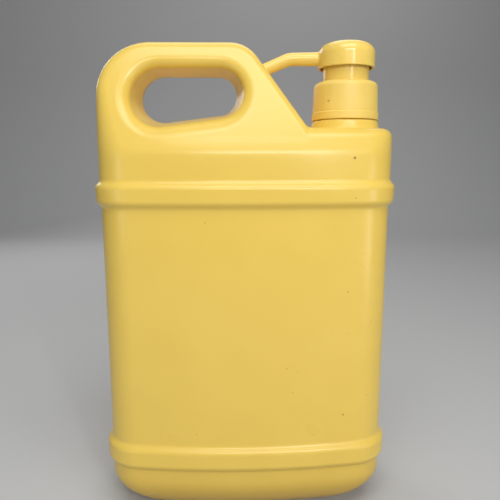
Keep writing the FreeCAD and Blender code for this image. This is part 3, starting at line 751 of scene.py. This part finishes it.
# ----------------------------------------------------------------------------------------------------------
# The jug
# ----------------------------------------------------------------------------------------------------------


@dataclass
class Jug:
    """The blown jug: curved base, walls with two bands, sloped faces, grip, finger hole, shoulder, neck."""

    bands: tuple = ((33.5, 48.4), (195.7, 209.8))
    band_proud: float = 2.8
    band_round: float = 3.9
    band_fillet: float = 1.7
    half_width: float = end_of("jug_body", X) - band_proud
    half_depth: float = end_of("jug_body", Y) - band_proud
    face_bow: float = 480.0
    corner: float = 22.0
    base_height: float = 25.6
    base_inset_x: float = 46.0
    base_inset_y: float = 25.6
    base_corner: float = 18.5
    panel_sink: float = 0.15
    upper_swell: float = 0.4
    crease_z: float = 227.0
    crease_soft: float = 2.0
    shoulder_z: float = 241.0
    shoulder_round: float = 5.5
    top_z: float = end_of("jug_body", Z)
    top_half_depth: float = 17.5
    top_bow: float = 3000.0
    top_round: float = 4.8
    left_round: float = 31.5
    right_round: float = 20.0
    slant_foot_x: float = 35.2
    slant_angle: float = 34.1
    slant_fillet: float = 2.5
    fillet_fade: tuple = (4.0, 12.0)
    fillet_depth: tuple = (1.0, 7.0)
    outer_span: tuple = (20.0, 60.0)
    hole_left: tuple = (-50.5, 14.0)
    hole_right: tuple = (-16.8, 11.8)
    hole_top_z: float = 273.8
    hole_draft: float = 8.0
    hole_rim: float = 6.5
    neck_x: float = PUMP_X
    neck_radius: float = 17.6
    gasket_gap: float = 0.05
    neck_top_z: float = start_of("neck_gasket", Z) - gasket_gap
    flare_foot: float = 21.8
    flare_top: float = 20.5
    flare_top_z: float = 247.15
    flare_fillet: float = 1.6
    flare_edge: float = 0.5
    neck_fillet: float = 0.6
    wall: float = 1.1
    neck_wall: float = 1.8
    seam: float = 0.14
    seam_width: float = 0.45

    def rise(self, z: np.ndarray) -> np.ndarray:
        """Way up the sloped part: 0 below the crease, 1 at the top, with a soft start."""
        above = z - self.crease_z
        return 0.5 * (above + np.hypot(above, self.crease_soft)) / (self.top_z - self.crease_z)

    def face(self, x: np.ndarray, y: np.ndarray, z: np.ndarray, inset: Size) -> tuple[np.ndarray, np.ndarray]:
        """Measure to the bowed front and back faces, which flatten towards the top.

        Args:
            x: places across.
            y: places in depth.
            z: heights.
            inset: how far the faces are drawn in.

        Returns:
            The distance in plan, and how much the face's outward direction leans along X.
        """
        way = self.rise(z)
        depth = self.half_depth - (self.half_depth - self.top_half_depth) * way
        bow = 1 / ((1 - way) / self.face_bow + way / self.top_bow)
        reach = np.hypot(x, np.abs(y) + bow - (depth - inset))
        return reach - bow, x / reach

    def corner_radius(self, z: np.ndarray) -> np.ndarray:
        """Plan radius of the corners, which shrinks towards the top."""
        way = np.minimum(self.rise(z), 1)
        return self.corner - (self.corner - self.top_round) * way * (2 - way)

    def column(self, x: np.ndarray, y: np.ndarray, z: np.ndarray) -> np.ndarray:
        """Measure in plan to the upright walls and the base that curves in like a boat's.

        Args:
            x: places across.
            y: places in depth.
            z: heights.

        Returns:
            Signed distances in plan.
        """
        down = np.clip(1 - z / self.base_height, 0, 1)
        curl = 1 - np.sqrt(np.maximum(1 - down * down, 0))
        (low, low_top), (high, high_top) = self.bands
        panel = eased(z, low, low_top) * (1 - eased(z, high, high_top))
        sink = self.panel_sink * panel
        swell = self.upper_swell * eased(z, high, high_top)
        side = np.abs(x) - (self.half_width + swell - sink - self.base_inset_x * curl)
        face, lean = self.face(x, y, z, sink + self.base_inset_y * curl)
        radius = self.corner_radius(z) - (self.corner - self.base_corner) * curl
        return round_meet(side, face, radius, np.abs(lean))

    def grip_outline(self, x: np.ndarray, z: np.ndarray) -> np.ndarray:
        """Measure in the front view to the grip: round outer corner, top, inner round and slant.

        Args:
            x: places across.
            z: heights.

        Returns:
            Signed distances in the front view.
        """
        left = -self.half_width - self.upper_swell - x
        top = z - self.top_z
        lean = math.radians(self.slant_angle)
        across, up = math.cos(lean), math.sin(lean)
        slant = (x - self.slant_foot_x) * across + (z - self.shoulder_z) * up
        centre_z = self.top_z - self.right_round
        centre_x = self.slant_foot_x - (self.right_round + (centre_z - self.shoulder_z) * up) / across
        dx, dz = x - centre_x, z - centre_z
        in_round = (dx > 0) & (dz * across - dx * up > 0)
        right = np.where(in_round, np.hypot(dx, dz) - self.right_round, np.maximum(top, slant))
        return round_meet(left, right, self.left_round)

    def hole_outline(self, x: np.ndarray, z: np.ndarray) -> np.ndarray:
        """Measure in the front view to the finger hole: two round ends joined by tangent lines.

        Args:
            x: places across.
            z: heights.

        Returns:
            Signed distances in the front view, negative in the hole.
        """
        (x1, r1), (x2, r2) = self.hole_left, self.hole_right
        z1, z2 = self.hole_top_z - r1, self.hole_top_z - r2
        long = math.hypot(x2 - x1, z2 - z1)
        ux, uz = (x2 - x1) / long, (z2 - z1) / long
        along = (x - x1) * ux + (z - z1) * uz
        aside = np.abs((z - z1) * ux - (x - x1) * uz)
        lean = (r1 - r2) / long
        straight = math.sqrt(1 - lean * lean)
        fall = along * straight - aside * lean
        line = along * lean + aside * straight - r1
        first = np.hypot(along, aside) - r1
        second = np.hypot(along - long, aside) - r2
        return np.where(fall < 0, first, np.where(fall > long * straight, second, line))

    def neck(self, x: np.ndarray, y: np.ndarray, z: np.ndarray) -> np.ndarray:
        """Measure to the neck, which runs on upwards, and the flare at its foot.

        Args:
            x: places across.
            y: places in depth.
            z: heights.

        Returns:
            Signed distances.
        """
        reach = np.hypot(x - self.neck_x, y)
        rise = np.clip((z - self.shoulder_z) / (self.flare_top_z - self.shoulder_z), 0, 1)
        flare = reach - (self.flare_foot + (self.flare_top - self.flare_foot) * rise)
        flare = round_meet(flare, z - self.flare_top_z, self.flare_edge)
        tube = round_join(flare, reach - self.neck_radius, self.neck_fillet)
        return np.maximum(tube, self.shoulder_z - self.shoulder_round - z)

    def form(self, points: np.ndarray) -> np.ndarray:
        """Measure to the outside of the jug.

        Args:
            points: where, in millimetres.

        Returns:
            Signed distances, negative inside.
        """
        x, y, z = points.T
        plan = self.column(x, y, z)
        block = round_meet(plan, z - self.shoulder_z, self.shoulder_round)
        block = np.maximum(block, -z)
        face, lean = self.face(x, y, z, 0.0)
        outer = eased(-x, *self.outer_span)
        edge = self.top_round + (self.corner_radius(z) - self.top_round) * outer
        outline = self.grip_outline(x, z)
        across = (self.grip_outline(x + SHORT, z) - outline) / SHORT
        grip = round_meet(outline, face, edge, across * lean)
        grip = np.maximum(grip, self.crease_z + self.top_round - z)
        foot = np.hypot(x - self.slant_foot_x, z - self.shoulder_z)
        soft = self.slant_fillet * (1 - eased(foot, *self.fillet_fade)) * eased(-face, *self.fillet_depth)
        body = round_join(block, grip, soft + SHORT)
        for low, high in self.bands:
            flat = np.abs(z - (low + high) / 2) - (high - low) / 2
            ring = round_meet(plan - self.band_proud, flat, self.band_round)
            body = round_join(body, ring, self.band_fillet)
        hole = self.hole_outline(x, z) - np.abs(y) * math.tan(math.radians(self.hole_draft))
        body = round_meet(body, -hole, self.hole_rim)
        seam = self.seam * np.exp(-((y / self.seam_width) ** 2))
        return round_join(body - seam, self.neck(x, y, z), self.flare_fillet)

    def levels_up(self) -> np.ndarray:
        """Choose the grid's levels upwards.

        Returns:
            The levels: close at the base, bands, crease and neck, wide on the plain panel.
        """
        (low, low_top), (high, high_top) = self.bands
        return levels(
            (-0.6, low - 6, 1.7),
            (low - 6, low_top + 4, 0.8),
            (low_top + 4, high - 4, 5.0),
            (high - 4, high_top + 4, 0.8),
            (high_top + 4, self.shoulder_z - 4, 1.8),
            (self.shoulder_z - 4, self.neck_top_z, 1.2),
            (self.neck_top_z, self.top_z + 2, 1.5),
        )

    def build(self) -> bpy.types.Object:
        """Build the jug's shell.

        Returns:
            The piece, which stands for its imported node.
        """
        reach_x = self.half_width + self.band_proud + 2
        reach_y = self.half_depth + self.band_proud + 2
        xs = levels((-reach_x, -60, 2.0), (-60, 4, 2.0), (4, reach_x, 2.4))
        half = levels((0.0, 0.9, 0.45), (0.9, 3.0, 1.1), (3.0, reach_y, 2.2))
        ys = np.concatenate([-half[:0:-1], half]) + 0.001
        skin = Mesher(self.form, xs, ys, self.levels_up()).skin(relaxing=3)
        skin = self.open_mouth(skin)
        around = np.hypot(skin.points[:, 0] - self.neck_x, skin.points[:, 1])
        high = eased(skin.points[:, 2], self.flare_top_z - 2, self.flare_top_z + 2)
        near = 1 - eased(around, self.neck_radius + 0.5, self.neck_radius + 3)
        wall = self.wall + (self.neck_wall - self.wall) * high * near
        low_corner, high_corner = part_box("jug_body")
        skin.points = np.clip(skin.points, np.array(low_corner) / MM, np.array(high_corner) / MM)
        return as_shell("jug_shell", with_wall(skin, wall), JUG_FINISH, Body.JUG, "jug_body")

    def open_mouth(self, skin: Skin) -> Skin:
        """Cut the neck level at its mouth.

        Args:
            skin: the jug's skin, whose neck runs on up.

        Returns:
            The skin with an open mouth.
        """
        x, y, z = skin.points.T
        in_neck = np.hypot(x - self.neck_x, y) < self.flare_foot + 3
        above = in_neck & (z > self.neck_top_z)
        faces = skin.faces[~above[skin.faces].any(1)]
        used = np.unique(faces)
        place = np.full(len(skin.points), -1)
        place[used] = np.arange(len(used))
        faces = place[faces]
        points, normals = skin.points[used].copy(), skin.normals[used].copy()
        points[np.unique(open_edges(faces)), 2] = self.neck_top_z
        return Skin(points, faces, normals)


# ----------------------------------------------------------------------------------------------------------
# The pump
# ----------------------------------------------------------------------------------------------------------


@dataclass
class PressHead:
    """The pump's press head: domed cap, skirt, boss on the stem and drooping spout."""

    axis_x: float = PUMP_X
    turn: float = 3.0
    radius: float = end_of("press_head", Y)
    base_z: float = 278.8
    top_z: float = end_of("press_head", Z)
    wall: float = 1.5
    edge: float = 6.5
    rim: float = 0.5
    boss_radius: float = 6.2
    boss_base_z: float = start_of("press_head", Z)
    bore: float = 4.05
    bore_top_z: float = 281.65
    chamber: float = 2.85
    chamber_top_z: float = 287.45
    spout_z: float = 284.9
    root_radius: float = 4.4
    tip_radius: float = 3.85
    channel: float = 2.2
    run: float = 36.0
    bend: float = 14.0
    droop: float = 22.5
    end: float = 14.0
    fillet: float = 1.3
    boss_fillet: float = 0.8
    root_start: float = 2.0
    tip_edge: float = 0.6
    bore_edge: float = 0.25
    dome: float = 0.0025
    grid: float = 0.62

    def spout(self, along: np.ndarray, aside: np.ndarray, z: np.ndarray) -> tuple:
        """Follow the spout's line out of the head.

        Args:
            along: distance out from the pump's axis.
            aside: distance from the spout's upright plane.
            z: height.

        Returns:
            The distance from the spout's line, the way along it, and the distance past its tip.
        """
        droop = math.radians(self.droop)
        start = self.run - self.bend * math.tan(droop / 2)
        below = self.spout_z - self.bend
        turned = np.clip(np.arctan2(along - start, z - below), 0, droop)
        arc_x, arc_z = start + self.bend * np.sin(turned), below + self.bend * np.cos(turned)
        on_arc = np.hypot(along - arc_x, z - arc_z)
        on_run = np.hypot(np.minimum(along, start) - along, z - self.spout_z)
        end_x, end_z = start + self.bend * math.sin(droop), below + self.bend * math.cos(droop)
        past = (along - end_x) * math.cos(droop) - (z - end_z) * math.sin(droop)
        held = np.maximum(past, 0)
        on_end = np.hypot(along - end_x - held * math.cos(droop), z - end_z + held * math.sin(droop))
        away = np.minimum(np.minimum(on_arc, on_run), on_end)
        way = np.minimum(along, start) + self.bend * turned + held
        return np.hypot(away, aside), way, past - self.end

    def form(self, points: np.ndarray) -> np.ndarray:
        """Measure to the head.

        Args:
            points: where, in millimetres.

        Returns:
            Signed distances, negative inside.
        """
        x, y, z = points[:, 0] - self.axis_x, points[:, 1], points[:, 2]
        angle = math.radians(self.turn)
        along = -x * math.cos(angle) + y * math.sin(angle)
        aside = x * math.sin(angle) + y * math.cos(angle)
        reach = np.hypot(x, y)
        crown = self.dome * reach * reach
        cap = round_meet(reach - self.radius, z + crown - self.top_z, self.edge)
        cap = round_meet(cap, self.base_z - z, self.rim)
        inset = self.wall
        hollow = round_meet(reach - self.radius + inset, z - self.top_z + inset, self.edge - inset)
        shell = round_meet(cap, -hollow, self.rim)
        boss = round_meet(reach - self.boss_radius, self.boss_base_z - z, self.rim)
        boss = np.maximum(boss, z - self.top_z + self.wall)
        away, way, past = self.spout(along, aside, z)
        whole = self.run + self.end
        girth = self.root_radius + (self.tip_radius - self.root_radius) * np.clip(way / whole, 0, 1)
        tube = round_meet(away - girth, past, self.tip_edge)
        tube = np.maximum(tube, self.root_start - along)
        solid = round_join(round_join(shell, boss, self.boss_fillet), tube, self.fillet)
        bore = np.maximum(reach - self.bore, z - self.bore_top_z)
        chamber = np.maximum(reach - self.chamber, z - self.chamber_top_z)
        channel = np.maximum(away - self.channel, -along)
        return round_meet(solid, -np.minimum(np.minimum(bore, chamber), channel), self.bore_edge)

    def build(self) -> bpy.types.Object:
        """Build the head.

        Returns:
            The piece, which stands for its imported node.
        """
        spare = 1.5
        far = self.axis_x - self.run - self.end - self.tip_radius
        xs = levels((far, self.axis_x + self.radius + spare, self.grid))
        ys = levels((-self.radius - spare, self.radius + spare, self.grid))
        zs = levels((self.boss_base_z - spare, self.top_z + spare, self.grid))
        skin = Mesher(self.form, xs, ys, zs).skin()
        return as_shell("head_shell", skin, HEAD_FINISH, Body.HEAD, "press_head")


@dataclass
class Turned:
    """A piece turned from a closed outline of (radius, height, rounding) corners about the pump's axis."""

    name: str
    outline: list
    finish: MouldedPlastic
    body: Body
    slot: str
    node: str
    axis_x: float = PUMP_X
    sides: int = 144
    facet: float = 0.26

    def profile(self) -> tuple[np.ndarray, np.ndarray]:
        """Round the outline's corners.

        Returns:
            The rounded outline's points and their outward normals, each as (radius, height).
        """
        corners = np.array([corner[:2] for corner in self.outline], float)
        places, normals = [], []
        for index, (radius, height, rounding) in enumerate(self.outline):
            here = corners[index]
            before = corners[index - 1] - here
            after = corners[(index + 1) % len(corners)] - here
            before /= np.linalg.norm(before)
            after /= np.linalg.norm(after)
            cross = before[0] * after[1] - before[1] * after[0]
            half = 0.5 * math.acos(np.clip(before @ after, -1, 1))
            inward = (before + after) / np.linalg.norm(before + after)
            centre = here + inward * rounding / math.sin(half)
            first = here + before * rounding / math.tan(half) - centre
            sweep = math.pi - 2 * half
            count = max(3, round(sweep / self.facet) + 1)
            sign = 1.0 if cross < 0 else -1.0
            start = math.atan2(first[1], first[0])
            finish = start + sign * sweep
            for angle in np.linspace(start, finish, count):
                ray = np.array([math.cos(angle), math.sin(angle)])
                places.append(centre + ray * rounding)
                normals.append(ray * sign)
        return np.array(places), np.array(normals)

    def skin(self) -> Skin:
        """Turn the rounded outline about the axis.

        Returns:
            The closed skin.
        """
        places, flat = self.profile()
        count = len(places)
        angles = np.linspace(0, 2 * math.pi, self.sides, endpoint=False)
        cos, sin = np.cos(angles)[:, None], np.sin(angles)[:, None]
        points = np.stack([self.axis_x + places[:, 0] * cos, places[:, 0] * sin, places[:, 1] + 0 * cos], -1)
        normals = np.stack([flat[:, 0] * cos, flat[:, 0] * sin, flat[:, 1] + 0 * cos], -1)
        ring = np.arange(count)
        faces = []
        for side in range(self.sides):
            here, there = side * count, (side + 1) % self.sides * count
            nxt = (ring + 1) % count
            faces.append(np.stack([here + ring, there + ring, there + nxt, here + nxt], 1))
        return Skin(points.reshape(-1, 3), np.concatenate(faces), normals.reshape(-1, 3))

    def build(self) -> bpy.types.Object:
        """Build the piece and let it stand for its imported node."""
        return as_shell(self.name, self.skin(), self.finish, self.body, self.node)


@dataclass
class ScrewClosure:
    """The screw closure: bead at its foot, tapered skirt and rounded top."""

    base_z: float = start_of("screw_closure", Z)
    bead: float = 0.4
    bead_height: float = 4.5
    radius: float = 20.4
    top_radius: float = 19.8
    inner: float = 18.8
    top_z: float = end_of("screw_closure", Z)
    plate: float = 2.2
    hole: float = 14.65
    edge: float = 3.6

    def build(self) -> bpy.types.Object:
        """Build the closure from its outline, given anticlockwise in (radius, height).

        Returns:
            The piece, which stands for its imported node.
        """
        bead_top = self.base_z + self.bead_height
        outline = [
            (self.inner, self.base_z, 0.3),
            (self.radius + self.bead, self.base_z, 0.6),
            (self.radius + self.bead, bead_top, 0.35),
            (self.radius - 0.12, bead_top + 0.45, 0.3),
            (self.radius - 0.02, bead_top + 0.9, 0.4),
            (self.top_radius, self.top_z, self.edge),
            (self.hole, self.top_z, 0.35),
            (self.hole, self.top_z - self.plate, 0.25),
            (self.inner, self.top_z - self.plate, 0.6),
        ]
        names = ("closure_plastic", "screw_closure")
        return Turned("closure_shell", outline, CLOSURE_FINISH, Body.CLOSURE, *names).build()


@dataclass
class Chaplet:
    """The collar that guides the stem and takes the head's boss."""

    rest_z: float = 268.35
    foot_z: float = start_of("chaplet", Z)
    plug: float = 11.45
    guide: float = 4.05
    radius: float = end_of("chaplet", Y)
    top_z: float = end_of("chaplet", Z)
    wall: float = 2.2
    well: float = 6.55
    well_floor_z: float = 266.45

    def build(self) -> bpy.types.Object:
        """Build the chaplet from its outline, given anticlockwise in (radius, height).

        Returns:
            The piece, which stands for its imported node.
        """
        floor = self.rest_z + self.wall
        outline = [
            (self.guide, self.foot_z, 0.2),
            (self.plug, self.foot_z, 0.6),
            (self.plug, self.rest_z, 0.15),
            (self.radius, self.rest_z, 0.2),
            (self.radius, self.top_z, 0.6),
            (self.radius - self.wall, self.top_z, 0.4),
            (self.radius - self.wall, floor, 0.5),
            (self.well + self.wall, floor, 0.5),
            (self.well + self.wall, self.top_z, 0.4),
            (self.well, self.top_z, 0.3),
            (self.well, self.well_floor_z, 0.3),
            (self.guide, self.well_floor_z, 0.2),
        ]
        return Turned("chaplet_shell", outline, HEAD_FINISH, Body.PUMP, "head_plastic", "chaplet").build()


@dataclass
class NeckThread:
    """The raised thread on the neck, a ridge that winds up under the closure."""

    axis_x: float = PUMP_X
    radius: float = 17.6
    low_z: float = 252.0
    pitch: float = 4.0
    turns: float = 2.25
    ridge: float = 0.85
    steps_per_turn: int = 72
    ridge_sides: int = 12

    def tree(self) -> bpy.types.NodeTree:
        """Build the tree that winds the ridge, with its sizes as named inputs.

        Returns:
            The tree: a circle swept along a spiral, raised to its place on the neck.
        """
        tree = bpy.data.node_groups.new("wound_thread", "GeometryNodeTree")
        tree.interface.new_socket("Geometry", in_out="OUTPUT", socket_type="NodeSocketGeometry")
        for name in ("Radius", "Pitch", "Turns", "Ridge", "Axis X", "Start Height"):
            tree.interface.new_socket(name, in_out="INPUT", socket_type="NodeSocketFloat")
        tree.interface.new_socket("Finish", in_out="INPUT", socket_type="NodeSocketMaterial")
        wiring = Wiring(tree)
        given = wiring.node("NodeGroupInput", {}, {}).outputs
        factors = {0: given["Pitch"], 1: given["Turns"]}
        climb = wiring.node("ShaderNodeMath", {"operation": "MULTIPLY"}, factors).outputs[0]
        winding = {"Resolution": self.steps_per_turn, "Rotations": given["Turns"], "Height": climb}
        winding |= {"Start Radius": given["Radius"], "End Radius": given["Radius"]}
        line = wiring.node("GeometryNodeCurveSpiral", {}, winding).outputs["Curve"]
        girth = {"Resolution": self.ridge_sides, "Radius": given["Ridge"]}
        circle = wiring.node("GeometryNodeCurvePrimitiveCircle", {}, girth).outputs["Curve"]
        swept = {"Curve": line, "Profile Curve": circle, "Fill Caps": True}
        ridge = wiring.node("GeometryNodeCurveToMesh", {}, swept).outputs["Mesh"]
        start = wiring.node("ShaderNodeCombineXYZ", {}, {"X": given["Axis X"], "Z": given["Start Height"]})
        lifted = {"Geometry": ridge, "Translation": start.outputs[0]}
        raised = wiring.node("GeometryNodeTransform", {}, lifted).outputs["Geometry"]
        real = wiring.node("GeometryNodeRealizeInstances", {}, {"Geometry": raised}).outputs["Geometry"]
        dressed = {"Geometry": real, "Material": given["Finish"]}
        done = wiring.node("GeometryNodeSetMaterial", {}, dressed).outputs["Geometry"]
        wiring.node("NodeGroupOutput", {}, {"Geometry": done})
        return tree

    def build(self) -> bpy.types.Object:
        """Wind the thread and keep it as a plain mesh.

        Returns:
            The piece.
        """
        holder = placed("thread_maker", bpy.data.meshes.new("thread_maker"))
        modifier = holder.modifiers.new("wind", "NODES")
        modifier.node_group = self.tree()
        sizes = {
            "Radius": self.radius * MM,
            "Pitch": self.pitch * MM,
            "Turns": self.turns,
            "Ridge": self.ridge * MM,
            "Axis X": self.axis_x * MM,
            "Start Height": self.low_z * MM,
            "Finish": material_of(JUG_FINISH),
        }
        for item in modifier.node_group.interface.items_tree:
            if item.in_out == "INPUT":
                modifier[item.identifier] = sizes[item.name]
        bpy.context.view_layer.update()
        ready = holder.evaluated_get(bpy.context.evaluated_depsgraph_get())
        mesh = bpy.data.meshes.new_from_object(ready)
        bpy.data.objects.remove(holder)
        mesh.name = "neck_thread"
        smooth(mesh)
        return as_piece(mesh, Body.JUG)


@dataclass
class InnerPieces:
    """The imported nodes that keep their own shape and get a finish."""

    finishes: tuple = (
        (GASKET_FINISH, ("neck_gasket",)),
        (NATURAL_FINISH, ("pump_housing", "stem", "dip_tube")),
        (PISTON_FINISH, ("piston", "piston_seat")),
        (SPRING_FINISH, ("return_spring",)),
        (BALL_FINISH, ("suction_ball", "outlet_ball")),
    )

    def dress(self) -> None:
        """Give each node its finish."""
        for finish, names in self.finishes:
            for name in names:
                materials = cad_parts[name].data.materials
                materials.clear()
                materials.append(material_of(finish))
                LOG.info("%s: dressed in %s", name, finish.name)


# ----------------------------------------------------------------------------------------------------------
# Studio
# ----------------------------------------------------------------------------------------------------------


@dataclass(frozen=True)
class SoftLight:
    """A soft rectangular light: where it stands and aims, its width and height in metres, its watts."""

    name: str
    place: Triple
    aim: Triple
    size: tuple[float, float]
    power: float

    def build(self) -> None:
        """Create the light."""
        data = bpy.data.lights.new(self.name, "AREA")
        data.shape = "RECTANGLE"
        data.size, data.size_y = self.size
        data.energy = self.power
        away = Vector(self.place) - Vector(self.aim)
        turned = away.to_track_quat("Z", "Y").to_matrix().to_4x4()
        placed(self.name, data).matrix_world = Matrix.Translation(self.place) @ turned


@dataclass
class Studio:
    """Pale floor that runs up into a backdrop, soft lights and the camera; lengths in metres."""

    camera_place: tuple = (-0.00734, -0.3297, 0.2203)
    camera_yaw: float = -0.0314
    camera_pitch: float = 0.1684
    camera_roll: float = -0.0016
    lens: float = 36.38
    floor_colour: Colour = (0.51, 0.51, 0.505, 1.0)
    floor_roughness: float = 0.9
    fleck_size: float = 0.004
    fleck_share: float = 0.97
    floor_half_width: float = 6.0
    floor_near_y: float = -6.0
    bend_y: float = 1.2
    bend_radius: float = 0.6
    backdrop_top_z: float = 3.0
    world_colour: Colour = (0.95, 0.97, 1.0, 1.0)
    world_strength: float = 0.20
    lights: tuple = (
        SoftLight("key", (0.06, -0.42, 0.95), (0.0, 0.0, 0.2), (0.7, 0.4), 4.3),
        SoftLight("crease", (0.10, -0.80, 0.56), (0.0, 0.0, 0.23), (0.55, 0.08), 2.7),
        SoftLight("streak", (0.32, -0.81, 0.46), (0.0635, 0.0, 0.28), (0.035, 0.40), 1.0),
        SoftLight("right", (0.65, -0.60, 0.10), (0.08, 0.0, 0.08), (0.25, 0.25), 0.75),
        SoftLight("left", (-0.65, -0.60, 0.20), (-0.08, 0.0, 0.12), (0.25, 0.25), 0.42),
        SoftLight("behind", (0.1, 0.9, 1.5), (0.0, 1.0, 0.0), (1.6, 0.8), 6.5),
        SoftLight("back_fill", (-0.6, 1.0, 0.7), (0.0, 0.0, 0.15), (0.5, 0.5), 2.2),
    )

    def add_camera(self) -> None:
        """Create the camera at its height, turned and tilted towards the jug."""
        data = bpy.data.cameras.new("camera")
        data.lens = self.lens
        data.sensor_width = 36.0
        data.clip_start = 0.01
        camera = placed("camera", data)
        yaw, pitch, roll = self.camera_yaw, self.camera_pitch, self.camera_roll
        level = math.cos(pitch)
        ahead = np.array([-math.sin(yaw) * level, math.cos(yaw) * level, -math.sin(pitch)])
        right = np.array([math.cos(yaw), math.sin(yaw), 0.0])
        upward = np.cross(right, ahead)
        side = math.cos(roll) * right + math.sin(roll) * upward
        top = -math.sin(roll) * right + math.cos(roll) * upward
        turned = Matrix([[side[i], top[i], -ahead[i]] for i in range(3)]).to_4x4()
        camera.matrix_world = Matrix.Translation(self.camera_place) @ turned
        bpy.context.scene.camera = camera

    def add_floor(self) -> None:
        """Create the floor and backdrop in one curved sheet."""
        around, bend = np.linspace(0, math.pi / 2, 13)[1:], self.bend_radius
        path = [(self.floor_near_y, 0.0), (self.bend_y, 0.0)]
        path += [(self.bend_y + bend * math.sin(turn), bend - bend * math.cos(turn)) for turn in around]
        path.append((self.bend_y + bend, self.backdrop_top_z))
        points = [(x, y, z) for y, z in path for x in (-self.floor_half_width, self.floor_half_width)]
        faces = [(2 * i, 2 * i + 1, 2 * i + 3, 2 * i + 2) for i in range(len(path) - 1)]
        mesh = bpy.data.meshes.new("floor")
        mesh.from_pydata(points, [], faces)
        smooth(mesh)
        graph = Graph("floor_paper")
        fleck = darker(self.floor_colour, self.fleck_share)
        colour = graph.mixed(graph.noise(self.fleck_size), self.floor_colour, fleck)
        mesh.materials.append(graph.finish({"Base Color": colour, "Roughness": self.floor_roughness}))
        placed("floor", mesh)

    def build(self) -> None:
        """Set the whole studio up."""
        self.add_camera()
        self.add_floor()
        world = bpy.data.worlds.new("studio")
        world.use_nodes = True
        background = world.node_tree.nodes["Background"]
        background.inputs["Color"].default_value = self.world_colour
        background.inputs["Strength"].default_value = self.world_strength
        bpy.context.scene.world = world
        bpy.context.scene.view_settings.view_transform = "Standard"
        for light in self.lights:
            light.build()


def main() -> None:
    """Build the studio, the modelled skins and the finishes, in order."""
    logging.basicConfig(level=logging.INFO, format="%(message)s")
    Studio().build()
    for assembly in (Jug(), NeckThread(), ScrewClosure(), Chaplet(), PressHead()):
        assembly.build()
    InnerPieces().dress()


if __name__ == "__main__":
    main()
